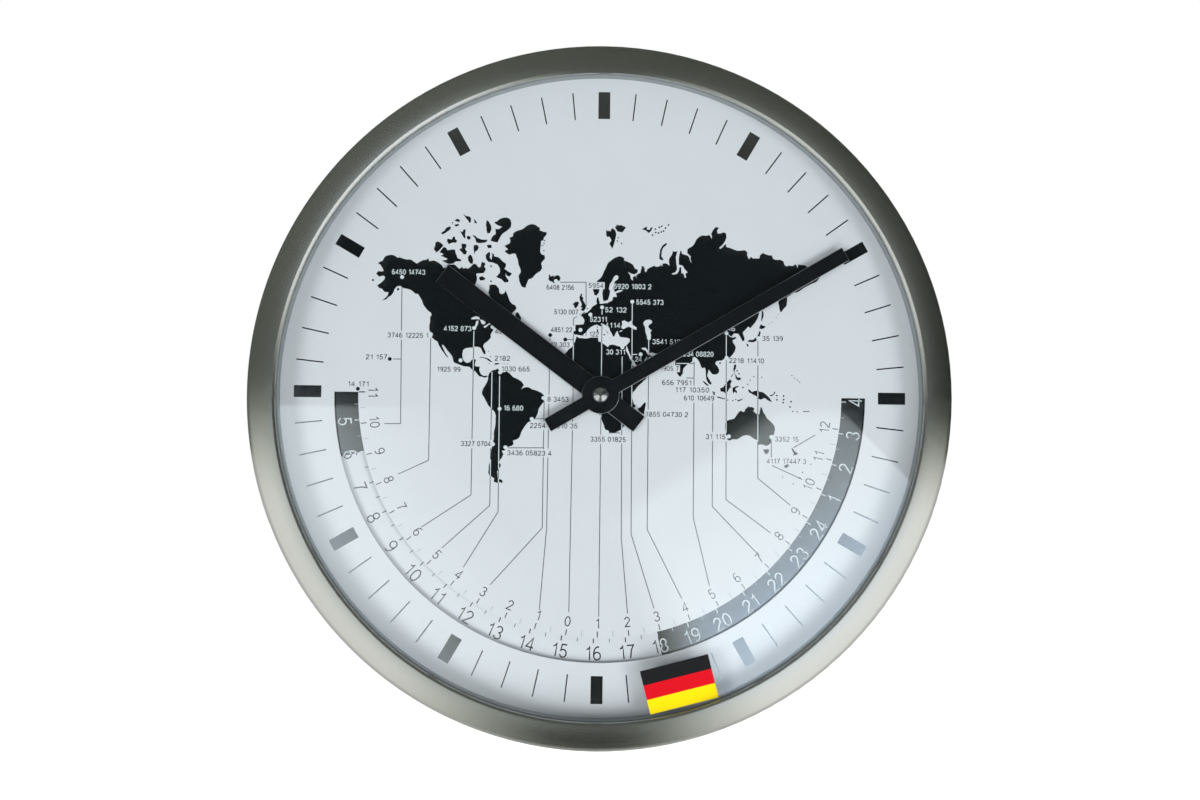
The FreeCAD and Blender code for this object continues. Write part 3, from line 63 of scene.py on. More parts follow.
# The map's coastlines, right of and above the dial's centre: the continents and Greenland. These points and
# those of the islands, lakes, dots, lines and rows of figures below were read in enlarged parts of the
# photograph, or set down as longitudes and latitudes, and then turned into mm on the dial. A separate script
# turned them into mm on the dial.
COASTS = [points(row) for row in (
    # North America
    (-946, 394, -924, 414, -919, 430, -937, 432, -949, 446, -959, 447, -969, 459, -949, 474, -938, 486,
     -936, 498, -946, 502, -960, 497, -974, 509, -966, 521, -950, 520, -942, 522, -947, 534, -957, 550,
     -968, 555, -959, 562, -947, 566, -940, 582, -932, 588, -916, 592, -904, 592, -892, 587, -882, 579,
     -876, 583, -860, 577, -844, 573, -828, 574, -812, 564, -800, 556, -788, 564, -772, 572, -758, 573,
     -752, 581, -746, 567, -728, 571, -712, 565, -700, 557, -692, 551, -686, 539, -674, 540, -666, 554,
     -652, 554, -636, 554, -628, 546, -616, 536, -604, 545, -600, 537, -588, 541, -580, 537, -568, 545,
     -560, 555, -552, 559, -544, 556, -532, 542, -524, 548, -519, 568, -508, 564, -504, 556, -510, 548,
     -502, 538, -510, 520, -520, 518, -544, 515, -539, 499, -545, 475, -564, 417, -556, 400, -532, 395,
     -503, 383, -500, 363, -492, 349, -484, 351, -484, 377, -474, 386, -474, 406, -490, 434, -486, 452,
     -486, 468, -474, 470, -458, 469, -444, 453, -440, 433, -432, 429, -426, 431, -418, 437, -416, 447,
     -410, 433, -402, 413, -395, 397, -385, 387, -373, 382, -367, 368, -373, 360, -385, 349, -384, 341,
     -415, 341, -431, 327, -410, 329, -407, 315, -394, 308, -383, 312, -388, 302, -412, 289, -417, 300,
     -436, 290, -438, 276, -468, 287, -466, 271, -472, 263, -477, 251, -475, 243, -481, 233, -491, 223,
     -503, 215, -508, 204, -504, 193, -497, 179, -498, 169, -504, 169, -512, 182, -517, 194, -526, 199,
     -546, 200, -566, 196, -584, 193, -594, 185, -597, 169, -595, 149, -589, 138, -577, 130, -563, 134,
     -556, 144, -547, 147, -537, 144, -541, 134, -543, 120, -537, 116, -521, 115, -523, 99, -516, 83, -504,
     75, -488, 77, -486, 73, -498, 67, -508, 71, -522, 73, -532, 84, -540, 94, -554, 102, -565, 113, -580,
     115, -600, 119, -616, 125, -632, 131, -636, 141, -639, 155, -649, 169, -661, 182, -671, 196, -678, 204,
     -686, 208, -683, 200, -677, 186, -667, 168, -657, 153, -661, 153, -671, 164, -683, 180, -693, 196,
     -700, 208, -704, 220, -718, 228, -730, 239, -726, 247, -734, 255, -741, 279, -741, 291, -738, 311,
     -739, 325, -732, 335, -736, 345, -748, 353, -760, 367, -770, 381, -775, 397, -785, 413, -793, 426,
     -801, 424, -809, 430, -825, 442, -841, 447, -861, 451, -869, 459, -883, 456, -893, 446, -899, 428,
     -908, 416, -928, 400),
    # South America
    (-484, 73, -488, 51, -496, 35, -510, 6, -508, -6, -494, -30, -481, -52, -467, -67, -453, -81, -448, -97,
     -449, -117, -454, -157, -456, -196, -461, -220, -466, -244, -468, -284, -475, -308, -477, -339, -473,
     -349, -463, -355, -450, -365, -454, -375, -446, -380, -432, -384, -426, -378, -418, -384, -414, -376,
     -419, -368, -431, -366, -437, -355, -439, -335, -431, -321, -424, -311, -424, -301, -432, -297, -428,
     -285, -420, -275, -413, -259, -421, -245, -407, -243, -401, -231, -391, -227, -377, -223, -370, -215,
     -374, -201, -356, -195, -346, -187, -340, -171, -331, -151, -321, -135, -309, -121, -294, -115, -278,
     -103, -270, -87, -265, -63, -253, -45, -243, -32, -239, -15, -244, -3, -256, 7, -272, 14, -296, 21,
     -306, 28, -320, 30, -334, 26, -341, 19, -330, 38, -340, 53, -356, 63, -376, 71, -392, 88, -404, 96,
     -424, 92, -434, 96, -444, 108, -454, 103, -468, 99, -480, 87, -486, 71),
    # Europe and Asia
    (-39, 453, -36, 471, -25, 487, -8, 503, 4, 523, 15, 548, 25, 572, 43, 586, 55, 594, 73, 601, 89, 597,
     97, 589, 93, 583, 107, 579, 123, 571, 133, 565, 141, 549, 155, 542, 152, 530, 142, 523, 128, 525, 111,
     533, 122, 519, 124, 505, 134, 495, 133, 511, 142, 517, 152, 505, 146, 517, 156, 526, 166, 530, 167,
     542, 171, 550, 169, 560, 179, 558, 185, 548, 183, 540, 190, 532, 195, 546, 207, 554, 219, 559, 227,
     563, 231, 557, 247, 559, 255, 567, 259, 557, 261, 571, 271, 573, 283, 570, 291, 562, 289, 576, 291,
     596, 301, 610, 305, 626, 315, 624, 325, 627, 321, 612, 319, 592, 321, 568, 324, 546, 316, 534, 300,
     528, 308, 524, 324, 528, 332, 540, 334, 554, 343, 558, 344, 528, 350, 532, 358, 510, 364, 513, 360,
     529, 370, 535, 362, 543, 354, 553, 349, 563, 339, 566, 331, 568, 331, 592, 333, 609, 337, 629, 343,
     625, 345, 615, 359, 611, 371, 607, 379, 589, 387, 573, 381, 593, 383, 605, 373, 613, 367, 619, 369,
     637, 379, 643, 391, 650, 399, 662, 406, 678, 418, 690, 434, 697, 450, 695, 462, 699, 473, 681, 474,
     695, 470, 703, 478, 720, 488, 732, 496, 734, 504, 730, 496, 720, 498, 706, 511, 706, 525, 712, 535,
     706, 537, 692, 533, 676, 523, 660, 505, 643, 511, 639, 531, 660, 537, 656, 535, 648, 552, 644, 568,
     638, 584, 632, 600, 633, 616, 635, 628, 627, 628, 613, 635, 595, 644, 607, 653, 599, 681, 600, 683,
     614, 695, 624, 709, 618, 723, 614, 735, 614, 741, 598, 753, 595, 773, 595, 785, 589, 789, 575, 797,
     567, 809, 571, 826, 569, 838, 578, 846, 560, 850, 576, 862, 574, 878, 574, 888, 566, 918, 553, 950,
     537, 946, 525, 930, 503, 892, 484, 870, 472, 846, 455, 826, 451, 802, 434, 803, 418, 801, 398, 787,
     382, 775, 366, 769, 382, 764, 406, 766, 418, 778, 424, 754, 430, 714, 421, 686, 397, 682, 380, 681,
     367, 681, 359, 675, 339, 663, 319, 651, 305, 643, 296, 635, 304, 623, 290, 611, 278, 613, 270, 619,
     254, 618, 242, 610, 240, 603, 254, 597, 264, 591, 272, 575, 273, 565, 265, 569, 259, 559, 261, 547,
     269, 555, 259, 567, 255, 583, 258, 581, 251, 567, 243, 576, 225, 582, 213, 578, 197, 568, 181, 556,
     169, 544, 163, 532, 163, 522, 155, 506, 154, 496, 150, 494, 140, 505, 128, 511, 114, 509, 102, 497, 94,
     481, 96, 471, 108, 465, 116, 463, 104, 459, 88, 469, 72, 479, 56, 475, 50, 465, 56, 455, 74, 453, 92,
     453, 108, 449, 124, 437, 121, 433, 127, 434, 121, 428, 139, 420, 155, 412, 165, 400, 163, 392, 147,
     376, 139, 366, 130, 356, 118, 354, 98, 343, 82, 337, 86, 328, 100, 322, 110, 321, 145, 319, 156, 306,
     156, 300, 165, 290, 178, 261, 179, 237, 182, 233, 175, 252, 163, 241, 144, 227, 133, 211, 125, 193,
     116, 174, 109, 165, 109, 162, 124, 156, 126, 146, 140, 134, 159, 124, 179, 118, 193, 109, 215, 123,
     231, 123, 243, 115, 247, 99, 249, 81, 251, 73, 266, 71, 278, 63, 270, 57, 254, 51, 252, 45, 266, 37,
     278, 35, 290, 18, 300, 2, 310, -3, 306, 0, 299, 12, 286, 24, 274, 32, 266, 26, 268, 16, 282, 3, 294,
     -9, 297, -17, 303, -29, 301, -44, 293, -58, 281, -64, 271, -76, 260, -92, 256, -106, 258, -108, 270,
     -113, 284, -112, 301, -96, 302, -77, 304, -73, 320, -79, 332, -89, 342, -95, 348, -85, 348, -69, 353,
     -59, 359, -49, 367, -40, 381, -30, 387, -20, 393, -23, 403, -21, 419, -14, 422, -12, 409, -8, 398, -10,
     393, 12, 396, 25, 397, 45, 408, 49, 424, 65, 424, 61, 440, 73, 444, 88, 450, 90, 454, 74, 454, 57, 444,
     50, 460, 52, 480, 56, 492, 68, 500, 72, 512, 62, 519, 52, 512, 48, 504, 44, 492, 34, 480, 30, 460, 36,
     448, 33, 431, 27, 411, 8, 405, 4, 419, 2, 439, 5, 455, -3, 460, -11, 457, -12, 443, -22, 429, -32,
     431),
    # Africa
    (-106, 252, -96, 244, -72, 242, -44, 247, -14, 247, -12, 231, 0, 227, 14, 218, 29, 206, 36, 216, 52,
     218, 72, 212, 92, 207, 109, 215, 106, 195, 112, 185, 120, 171, 130, 151, 134, 135, 144, 122, 145, 124,
     165, 103, 172, 96, 190, 101, 207, 104, 204, 89, 191, 65, 187, 67, 179, 55, 157, 35, 138, 12, 136, -6,
     140, -21, 144, -37, 147, -53, 153, -43, 139, -57, 124, -73, 127, -96, 113, -109, 111, -124, 93, -147,
     77, -156, 61, -162, 33, -159, 19, -142, 11, -119, 5, -99, -4, -83, 1, -62, 2, -48, 10, -28, 9, -8, 1,
     11, -15, 33, -13, 57, -18, 63, -31, 61, -42, 72, -58, 69, -73, 63, -84, 65, -102, 60, -121, 72, -134,
     87, -150, 103, -156, 115, -148, 122, -154, 150, -157, 175, -143, 192, -127, 204, -119, 216),
    # Australia
    (539, -112, 545, -104, 559, -99, 577, -95, 584, -85, 590, -75, 598, -65, 606, -60, 616, -65, 622, -63,
     624, -53, 634, -46, 636, -40, 644, -44, 654, -43, 664, -50, 660, -61, 670, -70, 677, -76, 686, -74,
     688, -58, 692, -41, 698, -50, 702, -64, 712, -78, 718, -90, 732, -103, 746, -117, 753, -129, 753, -145,
     749, -161, 739, -169, 737, -185, 735, -199, 719, -210, 703, -205, 683, -206, 679, -186, 667, -182, 655,
     -174, 643, -166, 629, -165, 613, -169, 599, -179, 589, -184, 571, -183, 559, -189, 547, -185, 551,
     -175, 543, -164, 540, -146, 538, -128),
    # Greenland
    (-333, 724, -319, 732, -307, 735, -291, 732, -281, 724, -270, 718, -274, 708, -264, 706, -254, 701,
     -242, 701, -243, 689, -254, 676, -256, 664, -266, 662, -267, 640, -269, 616, -263, 604, -249, 600,
     -248, 584, -258, 574, -264, 564, -260, 542, -266, 532, -283, 521, -299, 503, -317, 495, -323, 479,
     -330, 456, -336, 460, -346, 462, -357, 486, -361, 510, -351, 526, -354, 542, -362, 558, -366, 582,
     -373, 602, -381, 606, -401, 600, -413, 606, -423, 616, -407, 624, -417, 632, -424, 638, -413, 644,
     -401, 650, -398, 662, -403, 674, -388, 680, -386, 695, -370, 705, -354, 709, -342, 715),
)]
ISLANDS = [points(row) for row in (
    (-233, 498, -229, 504, -231, 512, -227, 518, -221, 508, -211, 514, -207, 508, -193, 515, -185, 513,
     -179, 501, -183, 491, -195, 484, -209, 480, -215, 486, -225, 488),
    (-714, 653, -698, 648, -687, 638, -695, 626, -709, 611, -717, 605, -727, 617, -723, 633, -722, 647),
    (-697, 616, -685, 630, -675, 626, -669, 616, -657, 618, -645, 620, -635, 618, -633, 602, -625, 582,
     -608, 575, -612, 569, -632, 568, -644, 558, -660, 556, -676, 562, -694, 571, -672, 574, -668, 580,
     -684, 586, -699, 591, -685, 598, -695, 604, -703, 605),
    (-700, 690, -687, 698, -677, 712, -663, 719, -655, 717, -659, 705, -674, 694, -690, 684),
    (-641, 745, -630, 753, -618, 749, -619, 739, -631, 741),
    (-641, 727, -623, 731, -621, 723, -635, 718),
    (-653, 735, -647, 739, -647, 729),
    (-604, 774, -592, 766, -576, 764, -570, 756, -571, 738, -577, 736, -582, 746, -592, 756),
    (-558, 754, -548, 744, -543, 734, -555, 736),
    (-670, 666, -652, 662, -646, 675, -638, 675, -636, 663, -628, 659, -632, 649, -646, 650, -664, 642,
     -672, 654),
    (-619, 701, -607, 695, -601, 707, -593, 708, -594, 687, -592, 669, -598, 669, -606, 683),
    (-588, 675, -580, 680, -570, 676, -572, 664, -582, 663),
    (-610, 645, -588, 643, -588, 631, -593, 623, -585, 611, -589, 599, -599, 599, -609, 611, -619, 619,
     -607, 627),
    (-554, 640, -538, 640, -534, 628, -541, 616, -549, 612, -553, 600, -557, 628),
    (-573, 599, -565, 595, -557, 575, -558, 559, -568, 559, -578, 571, -581, 587),
    (-502, 749, -491, 741, -483, 727, -481, 709, -487, 693, -499, 691, -505, 725),
    (-564, 684, -550, 680, -538, 670, -522, 664, -498, 665, -500, 655, -514, 650, -530, 648, -546, 652,
     -550, 668),
    (-500, 641, -480, 643, -478, 629, -494, 627),
    (-529, 502, -517, 506, -503, 496, -509, 488, -527, 486),
    (-883, 448, -874, 449, -874, 439, -883, 439),
    (-469, 742, -457, 744, -445, 756, -431, 761, -411, 761, -399, 753, -395, 739, -398, 718, -414, 704,
     -434, 690, -444, 674, -453, 653, -469, 655, -485, 661, -474, 681, -462, 689, -464, 711, -450, 710,
     -434, 722, -451, 726, -465, 734),
    (-504, 596, -495, 608, -487, 611, -484, 601, -486, 589, -478, 577, -476, 601, -479, 607, -468, 601,
     -468, 593, -448, 589, -436, 577, -416, 561, -416, 549, -422, 539, -403, 526, -389, 518, -399, 506,
     -411, 509, -417, 521, -415, 505, -403, 489, -405, 481, -419, 479, -433, 493, -459, 503, -451, 509,
     -441, 521, -442, 541, -452, 557, -472, 565, -492, 568, -502, 580),
    (-378, 322, -368, 351, -360, 351, -346, 328, -349, 314, -362, 317),
    (15, 715, 23, 709, 29, 713, 33, 707, 41, 723, 53, 715, 59, 697, 56, 677, 50, 653, 44, 633, 36, 644, 30,
     654, 38, 669, 29, 685, 19, 684, 15, 701),
    (53, 725, 63, 738, 73, 734, 81, 737, 101, 726, 91, 712, 85, 704, 75, 707, 65, 707, 59, 717),
    (171, 719, 185, 729, 193, 729, 191, 719, 203, 717, 209, 728, 217, 728, 211, 714, 200, 703, 189, 713),
    (276, 662, 280, 656, 266, 644, 257, 624, 255, 603, 265, 589, 261, 585, 247, 591, 247, 611, 250, 632,
     262, 652),
    (-523, 152, -510, 154, -491, 147, -477, 137, -471, 139, -482, 149, -502, 155, -518, 157),
    (-471, 140, -469, 138, -469, 135, -477, 137),
    (-461, 127, -451, 132, -435, 130, -441, 126, -453, 124),
    (-90, 436, -84, 435, -87, 424, -80, 419, -81, 408, -74, 397, -68, 383, -58, 371, -65, 363, -85, 362,
     -91, 368, -82, 374, -92, 378, -86, 386, -88, 396, -94, 406, -97, 420),
    (-126, 390, -114, 400, -102, 402, -98, 394, -104, 380, -113, 372, -119, 376, -118, 384),
    (6, 262, 17, 262, 16, 257, 10, 258),
    (-20, 296, -16, 296, -16, 289, -19, 289),
    (-20, 283, -14, 283, -14, 272, -19, 272),
    (693, 371, 699, 371, 701, 351, 697, 339, 695, 325, 691, 331),
    (689, 315, 697, 309, 711, 305, 703, 297, 691, 293, 681, 297),
    (683, 285, 689, 281, 685, 263, 679, 255, 668, 241, 656, 236, 630, 238, 640, 246, 656, 246, 669, 257,
     679, 271),
    (626, 230, 636, 226, 636, 218, 632, 216),
    (510, 146, 518, 147, 518, 141, 510, 141),
    (355, 84, 358, 92, 363, 83),
    (439, 66, 447, 64, 457, 56, 467, 48, 463, 45, 453, 50),
    (487, 22, 493, 18, 493, 6, 487, 6),
    (503, 1, 517, -3, 537, -7, 537, -11, 517, -8, 503, -4),
    (556, 75, 566, 67, 559, 53, 563, 41, 553, 31, 549, 21, 539, 13, 533, 19, 517, 23, 515, 35, 529, 41, 537,
     53, 545, 61),
    (574, 137, 584, 139, 582, 121, 576, 109, 584, 93, 588, 84, 606, 82, 602, 72, 592, 70, 582, 79, 580, 95,
     572, 113),
    (570, 99, 573, 98, 563, 84, 560, 85),
    (569, 37, 577, 43, 593, 46, 597, 42, 583, 38, 581, 30, 589, 24, 587, 14, 579, 22, 573, 13, 569, 25),
    (635, 33, 645, 29, 653, 21, 669, 27, 681, 26, 705, 18, 724, 2, 740, -20, 726, -16, 706, -4, 690, -11,
     682, -8, 670, 5, 653, 13, 641, 19),
    (728, 6, 743, 12, 751, 24, 755, 23, 749, 12, 734, 4),
    (703, -223, 711, -226, 727, -223, 728, -235, 721, -245, 714, -245, 707, -235),
    (825, -216, 831, -220, 839, -231, 853, -239, 849, -247, 833, -249, 835, -240, 829, -230),
    (794, -296, 800, -290, 812, -287, 816, -293, 808, -303, 798, -302),
    (174, -49, 190, -29, 196, -31, 191, -65, 187, -81, 181, -79, 165, -67, 161, -57, 167, -53),
    (590, -18, 614, -6, 612, -11, 594, -20),
    (874, -58, 902, -57, 902, -61, 875, -62),
)]
LAKES = [points(row) for row in (
    (-564, 320, -554, 328, -540, 332, -526, 328, -524, 318, -540, 320, -552, 318),
    (-530, 314, -532, 298, -540, 282, -547, 276, -544, 290, -540, 310),
    (-524, 318, -512, 316, -498, 307, -506, 296, -516, 300),
    (-510, 286, -500, 283, -486, 295, -472, 301, -464, 307, -480, 305, -492, 297, -504, 290),
    (88, 319, 98, 323, 110, 317, 118, 315, 126, 321, 134, 323, 132, 307, 142, 299, 152, 294, 151, 282, 134,
     289, 118, 297, 106, 291, 95, 285, 86, 291, 90, 307),
    (77, 275, 89, 281, 91, 277, 81, 273),
    (182, 316, 190, 325, 206, 328, 218, 323, 218, 313, 206, 306, 202, 296, 212, 284, 218, 282, 211, 272,
     215, 260, 213, 250, 199, 248, 197, 256, 191, 272, 188, 296, 182, 306),
    (173, 204, 191, 207, 201, 196, 208, 184, 224, 185, 236, 181, 232, 173, 220, 168, 210, 176, 200, 180,
     192, 194, 177, 200),
)]
# Islands too small for an outline, by their radius in mm
SPECKS = {
    0.175: (-425, 128, -415, 128, -401, 128, 765, 358, 755, 344, 735, 322, 723, 316),
    0.225: (-481, 129, -485, 181, -475, 159),
    0.25: (788, -343, 834, -371, 661, 87, 645, 72, 635, 54, 695, 85, 825, 95, 837, 83, 849, 75, 859, 67),
    0.275: (571, -17, 583, -12, 593, -16, 607, -11, 549, -15),
    0.3: (-250, 664, -253, 652, -259, 642, -253, 620, 68, 681, 64, 667, 82, 657, 830, -60, 849, -61, 909,
        -286, 874, -321, 862, -345),
    0.35: (588, 112, 596, 100, 614, 40),
    0.375: (228, 721, 245, 729, 255, 734, 216, 695, 230, 706, 242, 704, 254, 709, 264, 713, 272, 726, 285,
        740, 761, 7, 761, -11, 790, 6, 790, -10, 788, -23, 822, -18, 818, -41),
    0.4: (-480, 550, -479, 484, -527, 496),
    0.45: (-987, 482),
}
# Dots of the places on the coast or on land, then of those at sea
DOTS = points((-433, -65, -459, -217, -405, -230, -245, -16, -294, -107, -548, 281, -734, 252, -862, 497,
    -604, 141, -433, 92, -469, 287, -90, 279, -66, 363, -48, 346, -199, 489, 2, 378, 132, 404, 92, 207, 171,
    177, 206, 248, 403, 160, 358, 88, 480, 34, 499, -11, 542, 167, 541, 273, 678, 254, 555, -171, 738, -171,
    30, -159))
SEA_DOTS = points((-908, 143, -1042, 13, -220, 255, -155, 237, -112, 267))
# Lines that lead from a place down to the fixed scale
LEADERS = [points(row) for row in (
    (-862, 450, -859, 143, -856, -134, -925, -135), (-734, 236, -733, -289, -862, -350),
    (-549, 268, -549, -435, -759, -575), (-468, 93, -468, -479, -669, -662),
    (-435, 76, -432, -506, -576, -743), (-242, -25, -242, -572, -460, -816),
    (-221, 243, -223, -572, -249, -921), (-64, 360, -121, 328, -118, -23, -123, -929), (2, 367, 5, -946),
    (91, 195, 97, -610, 128, -932), (132, 395, 139, -594, 241, -909), (205, 240, 208, -574, 359, -866),
    (402, 148, 405, -521, 477, -809), (484, 23, 486, -472, 691, -681), (36, -162, 87, -162),
    (540, 262, 545, -442, 738, -582), (677, 242, 681, -349, 822, -463), (738, -185, 739, -292, 873, -352),
    (835, -216, 928, -160), (-181, 484, -69, 486, -67, 370), (-895, 143, -860, 143), (-147, 237, -121, 237),
    (-280, -106, -243, -105), (-395, -232, -241, -230), (134, 176, 156, 177), (325, 140, 405, 141),
    (369, 78, 403, 78), (-1042, -1, -1016, -1),
)]
# Plain numbers in the places of names: left end, right end and mid height in mm, what they stand on, text
PLACES = [
    (-90.6, -76.3, 51.9, "land", "6450 14743"),
    (-23.9, -12, 46.2, "sea", "6408 2156"),
    (-5.8, 0.7, 47.2, "box", "5954"),
    (-20.4, -10.1, 35.6, "sea", "5130 007"),
    (-5, 2.4, 32.6, "land", "52311"),
    (-21.7, -12.6, 27.9, "sea", "4851 22"),
    (-8.9, -1.1, 26.2, "sea", "41 122"),
    (-25, -13.6, 21.4, "sea", "3642 303"),
    (-45.8, -34.2, 26.8, "sea", "4042 740"),
    (-67.8, -56, 27.8, "land", "4152 873"),
    (-91.9, -74.4, 24.6, "sea", "3746 12225 1"),
    (-101.1, -91.9, 15.1, "sea", "21 157"),
    (-70.5, -60.4, 10.2, "sea", "1925 99"),
    (-45.8, -39.1, 15.2, "sea", "2182"),
    (-42.8, -30.6, 10.7, "sea", "1030 665"),
    (-108.6, -99.5, 3.4, "sea", "14 171"),
    (-22.8, -13.7, -2.1, "sea", "8 3453"),
    (-41.6, -33.2, -6.1, "land", "16 680"),
    (5.1, 21.4, 47, "land", "5920 1803 2"),
    (14.9, 26.7, 40.3, "land", "5545 373"),
    (1.5, 10.8, 36.8, "land", "52 132"),
    (1.6, 8.2, 30.1, "land", "4114"),
    (22.1, 35.8, 23.3, "land", "3541 5125"),
    (2.2, 10.4, 18.6, "land", "30 311"),
    (14.7, 23.4, 15.6, "land", "24 464"),
    (34, 48.5, 18.2, "land", "2234 08820"),
    (25.6, 33.6, 11.8, "box", "1905 7"),
    (26.5, 39.2, 5.7, "sea", "656 7951"),
    (32.1, 46.8, 2.7, "sea", "117 10350"),
    (36, 49, -0.8, "sea", "610 10649"),
    (19.6, 37.8, -8, "sea", "1855 04730 2"),
    (47.9, 57.8, 29.4, "land", "39 116"),
    (55.3, 70.4, 15.6, "sea", "2218 11410"),
    (69.6, 78.5, 25.3, "sea", "35 139"),
    (-59.6, -46.8, -21.6, "sea", "3327 0704"),
    (-39.7, -20.7, -25.3, "sea", "3436 05823 4"),
    (-30.1, -9.7, -13.5, "sea", "2254 04310 35"),
    (-4.1, 11.1, -19, "sea", "3355 01825"),
    (45.6, 54, -17.3, "sea", "31 115"),
    (75.4, 85.6, -18, "sea", "3352 15"),
    (71.9, 88.9, -27.5, "sea", "4117 17447 3"),
]

# Shapes

# A mitre's length is limited, ends this near make a closed line, and triangles this flat are left out
MITRE_LIMIT, CLOSED_GAP, FLAT = 0.5, 1e-6, 1e-20


def linked_piece(bm, name, material):
    mesh = bpy.data.meshes.new(name)
    bm.to_mesh(mesh)
    bm.free()
    mesh.materials.append(material)
    piece = bpy.data.objects.new(name, mesh)
    bpy.context.scene.collection.objects.link(piece)
    return piece


def ink_mesh(name, shapes, level, material, body="case"):
    """One flat print of many outlines, each a list of (right, up) in mm, at a level in front of the wall."""
    bm = bmesh.new()
    for shape in shapes:
        corners = [Vector((u * MM, -level * MM, v * MM)) for u, v in shape]
        verts = [bm.verts.new(c) for c in corners]
        for a, b, c in tessellate_polygon([corners]):
            n = (corners[b] - corners[a]).cross(corners[c] - corners[a])
            if n.length_squared > FLAT:
                order = (a, b, c) if n.y < 0 else (a, c, b)
                bm.faces.new([verts[i] for i in order])
    piece = linked_piece(bm, name, material)
    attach(piece, body)


def ribbon(line, width):
    """A line of even width as quads, with mitred corners."""
    stops = [Vector(p) for p in line]
    closed = (stops[0] - stops[-1]).length < CLOSED_GAP
    if closed:
        stops = stops[:-1]
    count = len(stops)
    last = count if closed else count - 1
    runs = [(stops[(i + 1) % count] - stops[i]).normalized() for i in range(last)]
    sides = []
    for i, p in enumerate(stops):
        before = runs[i - 1] if closed or i else runs[0]
        after = runs[i] if i < last else before
        middle = (before + after).normalized()
        across = Vector((-middle.y, middle.x))
        reach = width / 2 / max(across.dot(Vector((-before.y, before.x))), MITRE_LIMIT)
        sides.append((p + across * reach, p - across * reach))
    quads = []
    for i in range(last):
        (a, b), (c, d) = sides[i], sides[(i + 1) % count]
        quads.append([tuple(corner) for corner in (a, b, d, c)])
    return quads


def on_clock(radius, degrees):
    turn = math.radians(degrees)
    return radius * math.sin(turn), radius * math.cos(turn)


def arc(cx, cy, rx, ry, start, end, count=14):
    turns = [math.radians(start + (end - start) * i / count) for i in range(count + 1)]
    return [(cx + rx * math.cos(t), cy + ry * math.sin(t)) for t in turns]


def sector(inner, outer, start, end, step=1.5):
    count = max(2, int(abs(end - start) / step) + 1)
    turns = [start + (end - start) * i / count for i in range(count + 1)]
    return [on_clock(outer, t) for t in turns] + [on_clock(inner, t) for t in reversed(turns)]


def tick(inner, outer, degrees, width):
    return ribbon([on_clock(inner, degrees), on_clock(outer, degrees)], width)


def dot(x, y, radius, sides=16):
    turns = [2 * math.pi * i / sides for i in range(sides)]
    return [(x + radius * math.cos(t), y + radius * math.sin(t)) for t in turns]


def rugged(outline, step, depth):
    """A coast with small bays and capes: long edges are split, and their new points move in or out."""
    shore, count = [], 0
    for a, b in zip(outline, outline[1:] + outline[:1]):
        a, b = Vector(a), Vector(b)
        parts = max(1, min(6, round((b - a).length / step)))
        across = Vector((a.y - b.y, b.x - a.x)).normalized()
        shore.append(tuple(a))
        for i in range(1, parts):
            count += 1
            wave = math.sin(count * 2.4) * 0.6 + math.sin(count * 5.1 + a.x) * 0.4
            shore.append(tuple(a.lerp(b, i / parts) + across * depth * wave))
    return shore


def inside(point, outline):
    x, y = point
    hit = False
    for (ax, ay), (bx, by) in zip(outline, outline[1:] + outline[:1]):
        if (ay > y) != (by > y) and x < (bx - ax) * (y - ay) / (by - ay) + ax:
            hit = not hit
    return hit


def on_land(point):
    ashore = any(inside(point, land) for land in COASTS + ISLANDS)
    return ashore and not any(inside(point, lake) for lake in LAKES)


# Thin numerals, drawn as strokes in a box one cap height tall

DIGITS = {
    "0": [arc(0.3, 0.5, 0.25, 0.46, 90, 450, 28)],
    "1": [[(0.13, 0.76), (0.27, 0.82), (0.36, 0.97), (0.36, 0.03)]],
    "2": [arc(0.3, 0.71, 0.23, 0.25, 175, -25) + [(0.1, 0.12), (0.05, 0.04), (0.55, 0.04)]],
    "3": [arc(0.29, 0.73, 0.21, 0.23, 165, -90), arc(0.29, 0.27, 0.24, 0.24, 90, -170)],
    "4": [[(0.41, 0.03), (0.41, 0.97), (0.04, 0.27), (0.57, 0.27)]],
    "5": [[(0.51, 0.96), (0.16, 0.96), (0.1, 0.5)] + arc(0.29, 0.32, 0.24, 0.28, 135, -160)],
    "6": [arc(0.3, 0.31, 0.24, 0.27, 90, 450, 24), arc(0.36, 0.5, 0.3, 0.47, 75, 195)],
    "7": [[(0.06, 0.96), (0.54, 0.96), (0.36, 0.62), (0.24, 0.03)]],
    "8": [arc(0.3, 0.73, 0.2, 0.23, 90, 450, 22), arc(0.3, 0.27, 0.24, 0.24, 90, 450, 24)],
    "9": [arc(0.3, 0.69, 0.24, 0.27, 90, 450, 24), arc(0.24, 0.5, 0.3, 0.47, 15, -105)],
}
ADVANCE, DIGIT_ADVANCE, DIGIT_GAP = {"1": 0.6, " ": 0.4}, 0.72, 0.12


def strokes_of(text):
    """Strokes of a row of figures, centred on the origin, in cap heights, and the row's width."""
    strokes, x = [], 0.0
    for sign in text:
        strokes += [[(x + a, b) for a, b in s] for s in DIGITS.get(sign, [])]
        x += ADVANCE.get(sign, DIGIT_ADVANCE)
    width = x - DIGIT_GAP
    return [[(a - width / 2, b - 0.5) for a, b in s] for s in strokes], width


def figures(text, x, y, cap, weight, turn=0.0, stretch=1.0):
    """A row of figures, centred on a point, stretched along its run and turned."""
    c, s = math.cos(turn), math.sin(turn)
    shapes = []
    for stroke in strokes_of(text)[0]:
        wide = [(a * stretch, b) for a, b in stroke]
        shapes += ribbon([(x + cap * (a * c - b * s), y + cap * (a * s + b * c)) for a, b in wide], weight)
    return shapes


# Materials

def new_node(tree, kind, values=None, links=None):
    """A shader node, with values and links for its sockets."""
    node = tree.nodes.new("ShaderNode" + kind)
    for socket, value in (values or {}).items():
        node.inputs[socket].default_value = value
    for socket, source in (links or {}).items():
        tree.links.new(source, node.inputs[socket])
    return node


